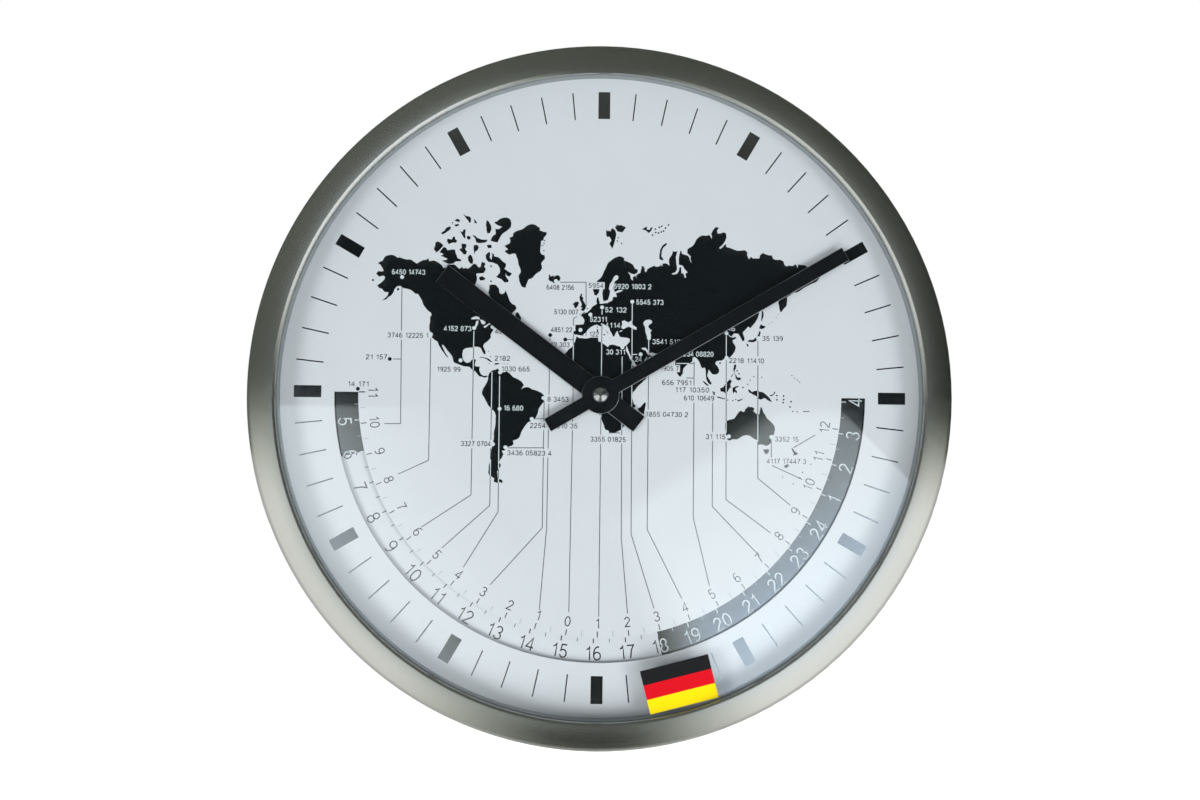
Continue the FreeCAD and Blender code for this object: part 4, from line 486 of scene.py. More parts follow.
def find_node(tree, kind):
    return next(n for n in tree.nodes if n.type == kind)


def node_setup(name, values):
    """A material with one shader that has these values."""
    material = bpy.data.materials.new(name)
    material.use_nodes = True
    tree = material.node_tree
    tree.nodes.clear()
    shader = new_node(tree, "BsdfPrincipled", values)
    new_node(tree, "OutputMaterial", links={0: shader.outputs[0]})
    return material, tree, shader


def layered(tree, share, under, over):
    """Shows a mix of two shaders, with this share of the second."""
    mix = new_node(tree, "MixShader", links={0: share, 1: under.outputs[0], 2: over.outputs[0]})
    tree.links.new(mix.outputs[0], find_node(tree, "OUTPUT_MATERIAL").inputs[0])


def maths(tree, operation, a, b=None):
    node = tree.nodes.new("ShaderNodeMath")
    node.operation = operation
    for socket, value in zip(node.inputs, (a, b)):
        if isinstance(value, (int, float)):
            socket.default_value = value
        elif value is not None:
            tree.links.new(value, socket)
    return node.outputs[0]


def times(tree, *values):
    return reduce(partial(maths, tree, "MULTIPLY"), values)


def plus(tree, *values):
    return reduce(partial(maths, tree, "ADD"), values)


def coords(tree):
    return new_node(tree, "TexCoord").outputs["Object"]


def round_coords(tree, along, across):
    """Coordinates that run round the object's axis: slow along the turn, fast across it."""
    x, y, z = new_node(tree, "SeparateXYZ", links={0: coords(tree)}).outputs
    radius = maths(tree, "SQRT", plus(tree, times(tree, x, x), times(tree, z, z)))
    turn = maths(tree, "ARCTAN2", x, z)
    links = {0: times(tree, radius, across), 1: times(tree, turn, along), 2: times(tree, y, across)}
    return new_node(tree, "CombineXYZ", links=links).outputs[0]


def noise(tree, vector, scale, detail=3.0, roughness=0.5):
    values = {"Scale": scale, "Detail": detail, "Roughness": roughness}
    return new_node(tree, "TexNoise", values, {"Vector": vector}).outputs["Fac"]


def spread(tree, value, low, high):
    return new_node(tree, "MapRange", {"To Min": low, "To Max": high}, {"Value": value}).outputs[0]


def color_mix(tree, share, first, second):
    """A mix of two colours, each a constant or a link."""
    mix = tree.nodes.new("ShaderNodeMix")
    mix.data_type = "RGBA"
    tree.links.new(share, mix.inputs[0])
    for socket, color in ((mix.inputs[6], first), (mix.inputs[7], second)):
        if isinstance(color, (tuple, list)):
            socket.default_value = (*color, 1)
        else:
            tree.links.new(color, socket)
    return mix.outputs[2]


def surfaced(tree, shader, height, rough, vary, relief, depth):
    """Roughness and bump that follow one pattern."""
    tree.links.new(spread(tree, height, rough - vary, rough + vary), shader.inputs["Roughness"])
    bump = new_node(tree, "Bump", {"Strength": relief, "Distance": depth}, {"Height": height})
    tree.links.new(bump.outputs[0], shader.inputs["Normal"])


def tinted(tree, shader, share, color, low, high):
    """The colour, varied from low times to high times its strength."""
    mixed = color_mix(tree, share, [c * low for c in color], [min(1, c * high) for c in color])
    tree.links.new(mixed, shader.inputs["Base Color"])


def coated(name, color, rough, grain, relief=0.25, depth=2e-5, change=0.06, metallic=0.0, specular=0.5,
           ior=1.5):
    """Paint, plastic or rubber with a fine grain and slight changes of tone."""
    values = {"Metallic": metallic, "Specular IOR Level": specular, "IOR": ior}
    material, tree, shader = node_setup(name, values)
    where = coords(tree)
    tinted(tree, shader, noise(tree, where, 60.0, detail=2.0), color, 1 - change, 1 + change)
    surfaced(tree, shader, noise(tree, where, grain), rough, 0.07, relief, depth)
    return material


def turned(name, color, rough, along=6.0, across=9000.0, anisotropic=0.0, relief=0.3, depth=2e-6, change=0.08,
           vary=0.06):
    """Metal with the fine rings of turning or circular brushing round the object's axis."""
    values = {"Metallic": 1.0, "Anisotropic": anisotropic, "Anisotropic Rotation": 0.25}
    material, tree, shader = node_setup(name, values)
    rings = noise(tree, round_coords(tree, along, across), 1.0, detail=4.0, roughness=0.6)
    broad = noise(tree, coords(tree), 25.0, detail=2.0)
    both = plus(tree, times(tree, rings, 0.6), times(tree, broad, 0.4))
    tinted(tree, shader, both, color, 1 - change, 1 + change)
    surfaced(tree, shader, rings, rough, vary, relief, depth)
    if anisotropic:
        tangent = tree.nodes.new("ShaderNodeTangent")
        tangent.direction_type = "RADIAL"
        tangent.axis = "Y"
        tree.links.new(tangent.outputs[0], shader.inputs["Tangent"])
    return material


def rolled(name, color, rough, direction=(1.0, 1.0, 30.0), scale=400.0):
    """Sheet or plated metal with a straight grain."""
    material, tree, shader = node_setup(name, {"Metallic": 1.0})
    stretch = new_node(tree, "Mapping", {"Scale": direction}, {"Vector": coords(tree)})
    grain = noise(tree, stretch.outputs[0], scale)
    tinted(tree, shader, grain, color, low=0.9, high=1.08)
    surfaced(tree, shader, grain, rough, vary=0.08, relief=0.2, depth=3e-6)
    return material


def lipped(material, lip, slope, start, end):
    """Leans the shading normal on a ring round the Y axis: inwards on its lip, outwards beyond it."""
    tree = material.node_tree
    geometry = new_node(tree, "NewGeometry").outputs

    def vector(operation, first, second=None):
        node = tree.nodes.new("ShaderNodeVectorMath")
        node.operation = operation
        tree.links.new(first, node.inputs[0])
        if second is not None:
            tree.links.new(second, node.inputs[1])
        return node

    flat = vector("MULTIPLY", geometry["Position"])
    flat.inputs[1].default_value = (1.0, 0.0, 1.0)
    radius = vector("LENGTH", flat.outputs[0]).outputs["Value"]
    values = {"From Min": start, "From Max": end, "To Min": lip, "To Max": slope}
    share = new_node(tree, "MapRange", values, {"Value": radius})
    share.interpolation_type = "SMOOTHSTEP"
    outward = vector("SCALE", vector("NORMALIZE", flat.outputs[0]).outputs[0])
    tree.links.new(share.outputs[0], outward.inputs["Scale"])
    leaned = vector("ADD", geometry["Normal"], outward.outputs[0])
    bump = find_node(tree, "BUMP")
    tree.links.new(vector("NORMALIZE", leaned.outputs[0]).outputs[0], bump.inputs["Normal"])
    return material


def black_hand(name):
    """Matt black, with bare metal where the surface leans away from the front, on the fine chamfers."""
    material = coated(name, HAND_BLACK, 0.42, 5200.0, depth=1e-5, specular=0.18)
    tree = material.node_tree
    normal = new_node(tree, "SeparateXYZ", links={0: new_node(tree, "NewGeometry").outputs["Normal"]})
    leaning = maths(tree, "LESS_THAN", maths(tree, "ABSOLUTE", normal.outputs["Y"]), LEAN_COSINE)
    black = find_node(tree, "BSDF_PRINCIPLED")
    metal = new_node(tree, "BsdfPrincipled", {"Base Color": (*EDGE, 1), "Metallic": 1.0, "Roughness": 0.3})
    layered(tree, leaning, black, metal)
    return material


def clear_glass():
    """Window glass: clear and glossy to the eye, and open to the lamps' light."""
    values = {"Base Color": (0.985, 1.0, 0.995, 1), "Transmission Weight": 1.0, "IOR": 1.5}
    material, tree, shader = node_setup("front_glass", values)
    dust = noise(tree, coords(tree), 900.0, detail=4.0, roughness=0.7)
    tree.links.new(spread(tree, dust, 0.0, 0.012), shader.inputs["Roughness"])
    rays = new_node(tree, "LightPath").outputs
    lit = maths(tree, "MAXIMUM", rays["Is Shadow Ray"], rays["Is Diffuse Ray"])
    layered(tree, lit, shader, new_node(tree, "BsdfTransparent"))
    return material


STEEL, BRASS, EDGE = (0.56, 0.55, 0.53), (0.68, 0.5, 0.22), (0.38, 0.4, 0.41)
HAND_BLACK, INK_BLACK = (0.0032, 0.0048, 0.0064), (0.0035, 0.006, 0.008)
DIAL_WHITE, LEAN_COSINE = (0.573, 0.617, 0.65), 0.96
PAINT_COAT = {"relief": 0.12, "depth": 8e-6, "change": 0.02, "specular": 0.3}
PRINT_COAT = {"relief": 0.1, "depth": 5e-6, "specular": 0.3}
MOULDED = {"relief": 0.4, "depth": 3e-5}
# The bezel's shading leans inwards on its lip and outwards beyond it, and turns over between two radii in m
LIP_LEAN, SLOPE_LEAN, LIP_RADIUS, SLOPE_RADIUS = -0.25, 0.15, 0.1382, 0.1388
bezel_steel = turned("bezel_steel", (0.487, 0.495, 0.462), 0.26, 5.0, 4500.0, anisotropic=1.0, relief=0.1,
                     depth=2e-7, change=0.05, vary=0.01)

FINISHES = {
    "bezel": lipped(bezel_steel, LIP_LEAN, SLOPE_LEAN, LIP_RADIUS, SLOPE_RADIUS),
    "front_glass": clear_glass(),
    "glass_gasket": coated("gasket_rubber", (0.012, 0.012, 0.012), 0.6, 3000.0),
    "spacer_ring": coated("spacer_plastic", (0.2, 0.225, 0.235), 0.35, 2500.0, relief=0.1),
    "dial_plate": coated("dial_paint", DIAL_WHITE, 0.55, 4000.0, **PAINT_COAT),
    "support_ring": coated("support_plastic", (0.06, 0.06, 0.06), 0.5, 2500.0),
    "carrier_plate": rolled("carrier_aluminium", (0.6, 0.6, 0.61), 0.38, (30.0, 30.0, 1.0)),
    "rear_pan": coated("pan_plastic", (0.022, 0.022, 0.024), 0.55, 1600.0, relief=0.5, depth=5e-5),
    "case_screws": turned("screw_steel", STEEL, 0.3),
    "hanger_bracket": rolled("bracket_zinc", (0.55, 0.56, 0.57), 0.4, (1.0, 1.0, 25.0), 300.0),
    "hanger_screws": turned("hanger_screw_steel", (0.45, 0.45, 0.44), 0.35),
    "wall_bumpers": coated("bumper_rubber", (0.03, 0.03, 0.03), 0.75, 2600.0),
    "glass_label": coated("label_film", (0.4, 0.4, 0.4), 0.4, 2500.0),
    "minute_hand": black_hand("hand_black"),
    "hour_hand": black_hand("hour_hand_black"),
    "hand_bushes": turned("bush_black", (0.03, 0.03, 0.033), 0.4),
    "centre_nut": turned("nut_chrome", (0.55, 0.56, 0.57), 0.16, 3.0, 12000.0, anisotropic=0.5),
    "window_disc": coated("disc_paint", DIAL_WHITE, 0.55, 4000.0, **PAINT_COAT),
    "disc_hub": turned("hub_brass", BRASS, 0.3),
    "movement_case": coated("movement_black", (0.018, 0.018, 0.018), 0.42, 1800.0, **MOULDED),
    "movement_cover": coated("cover_black", (0.024, 0.024, 0.024), 0.45, 1800.0, **MOULDED),
    "middle_plate": coated("plate_ivory", (0.72, 0.71, 0.66), 0.45, 2200.0),
    "cover_screws": turned("cover_screw_steel", STEEL, 0.3),
    "threaded_bush": turned("threaded_brass", BRASS, 0.25),
    "fixing_washer": coated("washer_rubber", (0.03, 0.03, 0.03), 0.7, 2600.0),
    "fixing_nut": turned("fixing_brass", BRASS, 0.28),
    "battery": coated("battery_sleeve", (0.06, 0.19, 0.12), 0.3, 900.0, relief=0.1),
    "contacts": rolled("contact_nickel", (0.66, 0.65, 0.6), 0.25),
    "circuit_board": coated("board_lacquer", (0.02, 0.16, 0.06), 0.35, 1500.0),
    "chip_cover": coated("chip_epoxy", (0.012, 0.012, 0.012), 0.25, 1200.0),
    "quartz_crystal": rolled("crystal_can", (0.7, 0.7, 0.71), 0.2),
    "stator": rolled("stator_steel", (0.42, 0.42, 0.43), 0.35),
    "coil_core": rolled("core_steel", (0.42, 0.42, 0.43), 0.35),
    "coil_bobbin": coated("bobbin_ivory", (0.74, 0.73, 0.68), 0.4, 2200.0),
    "coil_winding": rolled("winding_copper", (0.55, 0.22, 0.08), 0.3, (60.0, 1.0, 1.0), 700.0),
    "wheels": coated("wheel_ivory", (0.76, 0.75, 0.7), 0.4, 2600.0),
    "steel_arbors": turned("arbor_steel", STEEL, 0.25),
    "rotor_magnet": coated("magnet_grey", (0.1, 0.1, 0.105), 0.4, 1500.0, metallic=0.8),
    "setting_knob": coated("knob_black", (0.03, 0.03, 0.03), 0.45, 2200.0, **MOULDED),
}
for part in frame["record"]["subparts"]:
    slots = nodes[part["node"]].data.materials
    slots.clear()
    slots.append(FINISHES[part["material_slot"]])

black_ink = coated("ink_black", INK_BLACK, 0.07, 4000.0, relief=0.04, depth=2e-6, change=0.08, specular=1.0,
                   ior=1.7)
grey_ink = coated("ink_grey", (0.09, 0.105, 0.12), 0.55, 4000.0, **PRINT_COAT)
pale_ink = coated("ink_pale", (0.33, 0.39, 0.42), 0.55, 4000.0, **PRINT_COAT)
white_ink = coated("ink_white", (0.56, 0.64, 0.67), 0.5, 4000.0, change=0.02, **PRINT_COAT)
paint = FINISHES["dial_plate"]

# The dial's print: markers, minute ticks, map, places and their lines, fixed scale

LAND_LEVEL, LAKE_LEVEL, PALE_LEVEL = DIAL + INK, DIAL + 2 * INK, DIAL + 3 * INK
MARK_IN, MARK_OUT, MARK_WIDTH, TICK_WIDTH = 119.8, 131.6, 5.1, 0.55
# Step and depth of the small bays
COAST_BAYS, ISLAND_BAYS = (1.3, 0.2), (0.9, 0.13)
DOT_RADIUS, SPECK_SIDES = 0.85, 10

marks, minutes = [], []
for minute in range(60):
    if minute % 5:
        minutes += tick(MARK_IN, MARK_OUT, 6 * minute, TICK_WIDTH)
    else:
        marks += tick(MARK_IN, MARK_OUT, 6 * minute, MARK_WIDTH)
ink_mesh("hour_markers", marks, LAND_LEVEL, black_ink)
ink_mesh("minute_ticks", minutes, LAND_LEVEL, black_ink)

lands = [rugged(land, *COAST_BAYS) for land in COASTS] + [rugged(land, *ISLAND_BAYS) for land in ISLANDS]
lands += [dot(x, y, radius, SPECK_SIDES) for radius, row in SPECKS.items() for x, y in points(row)]
ink_mesh("map_land", lands, LAND_LEVEL, black_ink)
ink_mesh("map_lakes", LAKES, LAKE_LEVEL, paint)
ink_mesh("place_dots", [dot(x, y, DOT_RADIUS) for x, y in DOTS], PALE_LEVEL, white_ink)
ink_mesh("sea_dots", [dot(x, y, DOT_RADIUS) for x, y in SEA_DOTS], LAND_LEVEL, black_ink)

CAP_PLACE, WEIGHT_LAND, WEIGHT_SEA = 2.05, 0.34, 0.27
BOX_SIDE, BOX_HALF = 0.5, 1.5
light_text, dark_text, boxes = [], [], []
for left, right, height, ground, text in PLACES:
    inland = ground == "land"
    stretch = (right - left) / (strokes_of(text)[1] * CAP_PLACE)
    weight = WEIGHT_LAND if inland else WEIGHT_SEA
    shapes = figures(text, (left + right) / 2, height, CAP_PLACE, weight, 0.0, stretch)
    (light_text if inland else dark_text).extend(shapes)
    if ground == "box":
        left, right, low, high = left - BOX_SIDE, right + BOX_SIDE, height - BOX_HALF, height + BOX_HALF
        boxes.append([(left, low), (right, low), (right, high), (left, high)])
ink_mesh("place_boxes", boxes, LAKE_LEVEL, paint)
ink_mesh("place_numbers_light", light_text, PALE_LEVEL, white_ink)
ink_mesh("place_numbers_dark", dark_text, PALE_LEVEL, black_ink)

# The leader lines stop beside a row of figures, and are pale on land and grey at sea
LEADER_WIDTH, LEADER_STEP, GAP_SIDE, GAP_HALF = 0.36, 0.35, 0.6, 1.9


def ground_at(point):
    x, y = point
    for left, right, height, _, _ in PLACES:
        if left - GAP_SIDE < x < right + GAP_SIDE and abs(y - height) < GAP_HALF:
            return "gap"
    return "land" if on_land(point) else "sea"


leader_lines = {"land": [], "sea": []}
for leader in LEADERS:
    for a, b in zip(leader, leader[1:]):
        a, b = Vector(a), Vector(b)
        count = max(1, round((b - a).length / LEADER_STEP))
        grounds = [ground_at(a.lerp(b, (i + 0.5) / count)) for i in range(count)]
        start = 0
        for ground, run in groupby(grounds):
            end = start + len(list(run))
            if ground != "gap":
                line = a.lerp(b, start / count), a.lerp(b, end / count)
                leader_lines[ground] += ribbon(line, LEADER_WIDTH)
            start = end
ink_mesh("leader_lines_light", leader_lines["land"], LAKE_LEVEL, white_ink)
ink_mesh("leader_lines_dark", leader_lines["sea"], LAND_LEVEL, grey_ink)

# Fixed scale above the window: 11 to 1 on the left, 0, then 1 to 12 on the right
STEP = 7.5
ZERO_TURN = 187.5
SCALE_RADIUS, SCALE_CAP, SCALE_WEIGHT = 97.6, 4.25, 0.42
TICK_IN, TICK_OUT, HALF_OUT, TICK_WIDE, HALF_WIDE = 101.0, 103.5, 103.3, 0.4, 0.3
scale_text, scale_ticks, half_ticks = [], [], []
for hour in range(-11, 13):
    turn = ZERO_TURN - STEP * hour
    x, y = on_clock(SCALE_RADIUS, turn)
    scale_text += figures(str(abs(hour)), x, y, SCALE_CAP, SCALE_WEIGHT, math.radians(180 - turn))
    scale_ticks += tick(TICK_IN, TICK_OUT, turn, TICK_WIDE)
    if hour < 12:
        half_ticks += tick(TICK_IN, HALF_OUT, turn - STEP / 2, HALF_WIDE)
ink_mesh("scale_numbers", scale_text, LAND_LEVEL, black_ink)
ink_mesh("scale_ticks", scale_ticks, LAND_LEVEL, black_ink)
ink_mesh("scale_half_ticks", half_ticks, LAND_LEVEL, pale_ink)

# The disc's print: two day scales of 24 hours, the night half dark; at rest the shown hour is at its turn
SHOWN_HOUR, SHOWN_TURN = 16, 180.9
FIRST_TURN = SHOWN_TURN + SHOWN_HOUR * STEP
NIGHT_IN, NIGHT_OUT, DAWN, DUSK = 98.0, 116.6, 6, 18
NUMBER_RADIUS, NUMBER_CAP, NUMBER_WEIGHT = 110.6, 5.9, 0.57
DISC_IN, DISC_OUT, DISC_HALF_OUT, DISC_WIDE, DISC_HALF_WIDE = 103.8, 106.4, 106.0, 0.45, 0.32
DISC_INK, DISC_PALE = DISC + INK, DISC + 2 * INK


def hour_turn(hour):
    return FIRST_TURN - STEP * hour


nights = [sector(NIGHT_IN, NIGHT_OUT, hour_turn(DUSK + day), hour_turn(24 + DAWN + day)) for day in (0, 24)]
ink_mesh("disc_night", nights, DISC_INK, black_ink, "disc_group")
DISC_LOOKS = {
    "disc_numbers_light": (DISC_PALE, white_ink), "disc_numbers_dark": (DISC_INK, black_ink),
    "disc_ticks_light": (DISC_PALE, white_ink), "disc_ticks_dark": (DISC_INK, black_ink),
    "disc_half_ticks_light": (DISC_PALE, pale_ink), "disc_half_ticks_dark": (DISC_INK, grey_ink),
}
prints = {name: [] for name in DISC_LOOKS}
for hour in range(1, 49):
    number = (hour - 1) % 24 + 1
    by_day = DAWN < number < DUSK
    turn = hour_turn(hour)
    x, y = on_clock(NUMBER_RADIUS, turn)
    shapes = figures(str(number), x, y, NUMBER_CAP, NUMBER_WEIGHT, math.radians(180 - turn))
    if number in (DAWN, DUSK):
        # These numbers stand half on the dark
        radial = Vector(on_clock(1.0, turn))
        side = Vector((radial.y, -radial.x))
        for shape in shapes:
            middle = sum((Vector(p) for p in shape), Vector((0, 0))) / len(shape)
            night_side = (middle.dot(side) > 0) == (number == DAWN)
            prints["disc_numbers_light" if night_side else "disc_numbers_dark"].append(shape)
    else:
        prints["disc_numbers_dark" if by_day else "disc_numbers_light"] += shapes
    marks = tick(DISC_IN, DISC_OUT, turn, DISC_WIDE)
    halves = tick(DISC_IN, DISC_HALF_OUT, turn - STEP / 2, DISC_HALF_WIDE)
    prints["disc_ticks_dark" if by_day else "disc_ticks_light"] += marks
    prints["disc_half_ticks_dark" if DAWN <= number < DUSK else "disc_half_ticks_light"] += halves
for name, (level, ink) in DISC_LOOKS.items():
    ink_mesh(name, prints[name], level, ink, "disc_group")

# Three plain colour bands on the label
low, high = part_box("glass_label")
LABEL_TILT, LABEL_WIDE, LABEL_TALL = math.radians(14.6), 29.6, 18.6
label_x, label_y, label_level = (low.x + high.x) / 2 / MM, (low.z + high.z) / 2 / MM, -low.y / MM + INK
BANDS = (("label_black", (0.008, 0.008, 0.009)), ("label_red", (0.62, 0.003, 0.011)),
         ("label_yellow", (0.86, 0.67, 0.002)))
c, s, side = math.cos(LABEL_TILT), math.sin(LABEL_TILT), LABEL_WIDE / 2
for row, (name, color) in enumerate(BANDS):
    top, bottom = (LABEL_TALL / 2 - edge * LABEL_TALL / len(BANDS) for edge in (row, row + 1))
    corners = (-side, top), (side, top), (side, bottom), (-side, bottom)
    band = [(label_x + a * c - b * s, label_y + a * s + b * c) for a, b in corners]
    film = coated(name + "_film", color, 0.3, 700.0, relief=0.5, depth=5e-5, specular=0.12)
    ink_mesh(name, [band], label_level, film)

# The hands' edges are broken by a fine chamfer
CHAMFER, WELD_GAP, LEAST_CORNER = 0.2 * MM, 0.001 * MM, math.radians(40)
for name in ("hour_hand", "minute_hand"):
    nodes[name].modifiers.new("weld", "WELD").merge_threshold = WELD_GAP
    chamfer = nodes[name].modifiers.new("chamfer", "BEVEL")
    chamfer.width = CHAMFER
    chamfer.segments = 2
    chamfer.limit_method = "ANGLE"
    chamfer.angle_limit = LEAST_CORNER

# Camera, as fitted to the photograph: turns in radians, place in m, focal length and centre in its pixels

YAW, PITCH, ROLL = 0.0170, 0.0528, 0.0129
EYE = (-0.00580, -0.70319, -0.00689)
FOCAL, CENTRE = 1553.8, (614.3, 329.05)
WIDE, TALL, SENSOR, NEAREST = 1200, 800, 36.0, 0.01
ahead = Vector((math.sin(YAW) * math.cos(PITCH), math.cos(YAW) * math.cos(PITCH), math.sin(PITCH)))
level = Vector((math.cos(YAW), -math.sin(YAW), 0.0))
rise = level.cross(ahead)
right = level * math.cos(ROLL) + rise * math.sin(ROLL)
upward = rise * math.cos(ROLL) - level * math.sin(ROLL)
camera = bpy.data.objects.new("camera", bpy.data.cameras.new("camera"))
bpy.context.scene.collection.objects.link(camera)
camera.matrix_world = Matrix([(right[i], upward[i], -ahead[i], EYE[i]) for i in range(3)] + [(0, 0, 0, 1)])
camera.data.sensor_width = SENSOR
camera.data.lens = FOCAL * SENSOR / WIDE
camera.data.shift_x = (WIDE / 2 - CENTRE[0]) / WIDE
camera.data.shift_y = (CENTRE[1] - TALL / 2) / WIDE
camera.data.clip_start = NEAREST
bpy.context.scene.camera = camera

# Floor

FLOOR_HALF, FLOOR_PLACE, FLOOR_GLOW, MIRRORED_SHARE = 3.0, (0, 2.98, -0.5), 0.86, 0.4
FLOOR_LOOK = {"Base Color": (0.82, 0.82, 0.82, 1), "Roughness": 0.8, "Emission Color": (1, 1, 1, 1)}
floor_material, tree, shader = node_setup("floor", FLOOR_LOOK)
rays = new_node(tree, "LightPath").outputs
in_gloss = times(tree, rays["Is Glossy Ray"], MIRRORED_SHARE)
seen = maths(tree, "MAXIMUM", rays["Is Camera Ray"],
             maths(tree, "MAXIMUM", in_gloss, rays["Is Transmission Ray"]))
tree.links.new(times(tree, seen, FLOOR_GLOW), shader.inputs["Emission Strength"])
bm = bmesh.new()
bmesh.ops.create_grid(bm, x_segments=8, y_segments=8, size=FLOOR_HALF)
floor = linked_piece(bm, "floor", floor_material)
floor.location = FLOOR_PLACE

# Lamps: name, place in m, size in m and power in W; each looks at the object's middle

LAMPS = (
    ("lamp_low_left", (-1.1, -1.5, -0.42), 0.7, 13.0),
    ("lamp_low_right", (1.1, -1.5, -0.42), 0.7, 13.0),
    ("lamp_front", (0.1, -0.75, -0.62), 0.6, 3.1),
    ("lamp_back", (0.6, 1.8, 1.2), 1.4, 12.0),
)
for name, place, size, power in LAMPS:
    light = bpy.data.lights.new(name, "AREA")
    light.shape = "DISK"
    light.size = size
    light.energy = power
    holder = bpy.data.objects.new(name, light)
    holder.location = place
    holder.rotation_euler = (-Vector(place)).to_track_quat("-Z", "Y").to_euler()
    holder.visible_glossy = holder.visible_transmission = holder.visible_camera = False
    bpy.context.scene.collection.objects.link(holder)

# The room that metal, glass and gloss mirror: a dark room with soft cards and soft boxes in front of the dial

world = bpy.data.worlds.new("room")
bpy.context.scene.world = world
world.use_nodes = True
world.cycles.sampling_method = "NONE"
tree = world.node_tree
tree.nodes.clear()
rays = new_node(tree, "LightPath").outputs
where = new_node(tree, "TexCoord").outputs["Generated"]
x, y, z = new_node(tree, "SeparateXYZ", links={0: where}).outputs
front = times(tree, y, -1.0)


def ramp(value, low, high):
    """0 below low, 1 above high, smooth between."""
    node = new_node(tree, "MapRange", {"From Min": low, "From Max": high}, {"Value": value})
    node.interpolation_type = "SMOOTHSTEP"
    return node.outputs[0]


def under(value):
    return maths(tree, "SUBTRACT", 1.0, value)


def within(value, start, full, fade, end):
    """1 between full and fade, falling to 0 at start and at end."""
    return times(tree, ramp(value, start, full), under(ramp(value, fade, end)))


def sloped(across, up, low, high):
    """A soft edge in the picture of the room in front of the dial, square to (across, up)."""
    return ramp(plus(tree, times(tree, pane_x, across), times(tree, pane_z, up)), low, high)


def background(color, strength):
    """A background of a constant or linked colour and strength."""
    node = new_node(tree, "Background")
    for socket, value in ((node.inputs["Color"], color), (node.inputs["Strength"], strength)):
        if isinstance(value, (tuple, float)):
            socket.default_value = value
        else:
            tree.links.new(value, socket)
    return node.outputs[0]


# A direction's angle off the axis and clock angle, in radians, and its place in the picture of the room
AHEAD, LEAST_FRONT = (0.05, 0.2), 0.05
off_axis = maths(tree, "ARCCOSINE", front)
clock = maths(tree, "ARCTAN2", x, z)
ahead_only = ramp(front, *AHEAD)
safe = maths(tree, "MAXIMUM", front, LEAST_FRONT)
pane_x, pane_z = maths(tree, "DIVIDE", x, safe), maths(tree, "DIVIDE", z, safe)

# Two large cards at the lower right and left, by clock angle, which the bezel mirrors
RIGHT_CARD = [math.radians(turn) for turn in (90, 110, 146, 176)]
LEFT_CARD = [math.radians(turn) for turn in (86, 109, 140, 176)]
CARD_REACH, CARD_LIGHT, LEFT_SHARE = (0.2, 0.28, 1.45, 1.75), 1.57, 0.82
left_card = times(tree, within(times(tree, clock, -1.0), *LEFT_CARD), LEFT_SHARE)
cards = times(tree, within(off_axis, *CARD_REACH), plus(tree, within(clock, *RIGHT_CARD), left_card))

# Two soft boxes nearer the axis, which the glass and the black ink mirror over the dial's lower half. An edge
# is its direction across and up, then where it starts and where it is full.
LEFT_EDGE, LEFT_TOP, RIGHT_TOP = (-0.9, -0.436, 0.062, 0.2), (-0.001, 0.003), (-0.006, 0.008)
RIGHT_EDGES = ((0.565, -0.825, 0.06, 0.078), (0.908, 0.419, -0.03, 0.016), (-0.707, -0.707, -0.119, -0.116))
RIGHT_GROWTH, RIGHT_START, RIGHT_GAIN = (0.565, -0.825, 0.08, 0.26), 0.5, 1.05
BOX_REACH, BOX_LIGHT, LEFT_BOX_SHARE = (0.26, 0.34), 2.35, 0.76
left_box = times(tree, sloped(*LEFT_EDGE), under(ramp(pane_z, *LEFT_TOP)))
growing = plus(tree, RIGHT_START, times(tree, sloped(*RIGHT_GROWTH), RIGHT_GAIN))
right_edges = [sloped(*edge) for edge in RIGHT_EDGES]
right_box = times(tree, *right_edges, under(ramp(pane_z, *RIGHT_TOP)), growing)
near = under(ramp(off_axis, *BOX_REACH))
boxes_seen = times(tree, near, ahead_only,
                   maths(tree, "MAXIMUM", times(tree, left_box, LEFT_BOX_SHARE), right_box))

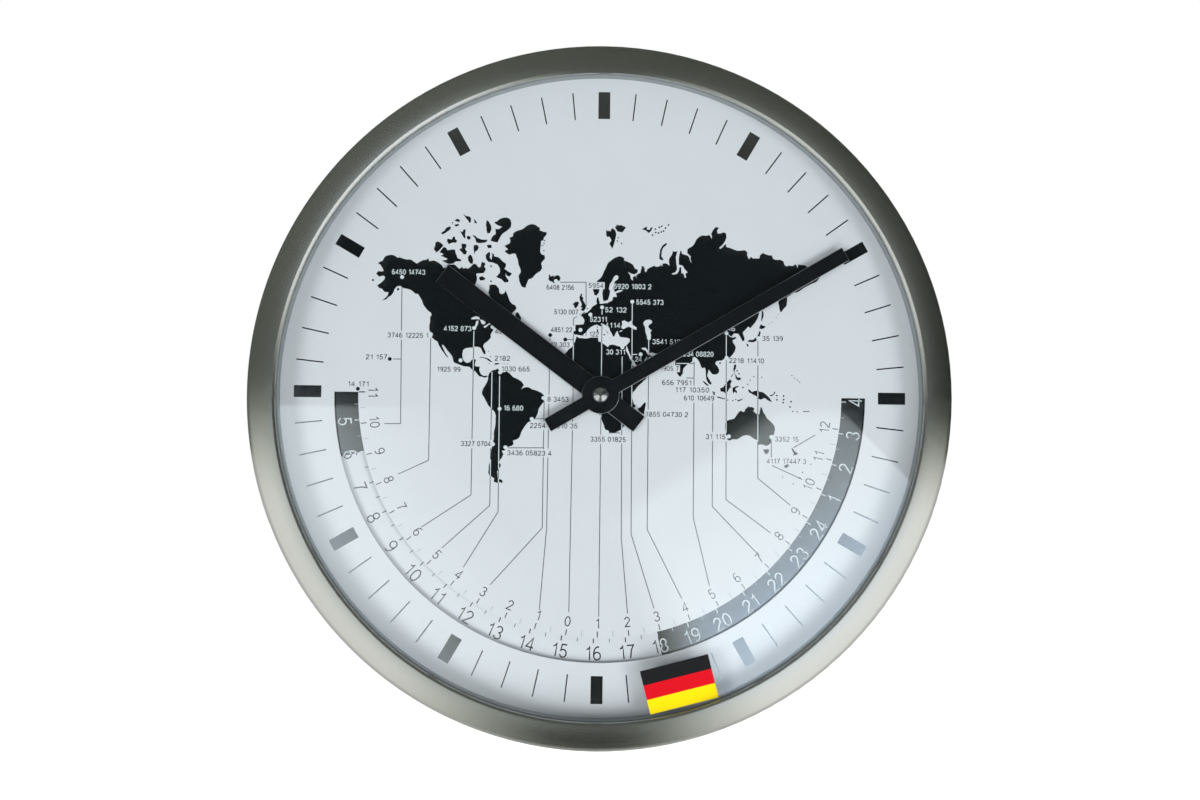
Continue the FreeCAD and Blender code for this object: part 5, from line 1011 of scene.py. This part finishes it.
# The dark room: nearly black ahead, with a weak glow above and below, grey beyond, and white behind
FAR_GREY, FAR_ACROSS, FAR_UP, NEAR_GREY, GLOW, FOOT_SHARE = 0.088, -0.058, 0.042, 0.02, 0.17, 0.3
FOOT_EDGE, TOP_EDGE, FAR_EDGE, WALL_EDGE = (-0.19, -0.14), (0.12, 0.18), (0.26, 0.36), (0.7, 0.97)
far_dim = plus(tree, FAR_GREY, plus(tree, times(tree, x, FAR_ACROSS), times(tree, z, FAR_UP)))
foot = times(tree, under(ramp(pane_z, *FOOT_EDGE)), FOOT_SHARE)
near_dim = plus(tree, NEAR_GREY, times(tree, plus(tree, ramp(pane_z, *TOP_EDGE), foot), GLOW))
beyond = ramp(off_axis, *FAR_EDGE)
dim = plus(tree, times(tree, beyond, far_dim), times(tree, under(beyond), near_dim))
lit_cards = plus(tree, dim, times(tree, cards, CARD_LIGHT))
lit = maths(tree, "MAXIMUM", lit_cards, times(tree, boxes_seen, BOX_LIGHT))
wall = ramp(y, *WALL_EDGE)

DARK_TONE, CARD_TONE, BOX_TONE = (0.99, 1.03, 0.9), (1.0, 0.99, 1.0), (0.84, 1.0, 1.19)
tone = color_mix(tree, boxes_seen, color_mix(tree, cards, DARK_TONE, CARD_TONE), BOX_TONE)
mirrored = background(tone, maths(tree, "MAXIMUM", lit, wall))

# The even light on the object, a little stronger from below, and plain white where the camera sees the room
WHITE, AMBIENT, AMBIENT_SLOPE = (1.0, 1.0, 1.0, 1.0), 0.46, -0.16
ambient = background(WHITE, plus(tree, AMBIENT, times(tree, z, AMBIENT_SLOPE)))
by_mirror = maths(tree, "MAXIMUM", rays["Is Glossy Ray"], rays["Is Transmission Ray"])
unseen = new_node(tree, "MixShader", links={0: by_mirror, 1: ambient, 2: mirrored})
links = {0: rays["Is Camera Ray"], 1: unseen.outputs[0], 2: background(WHITE, 1.0)}
new_node(tree, "OutputWorld", links={0: new_node(tree, "MixShader", links=links).outputs[0]})

bpy.context.scene.view_settings.view_transform = "Standard"

bpy.context.view_layer.update()
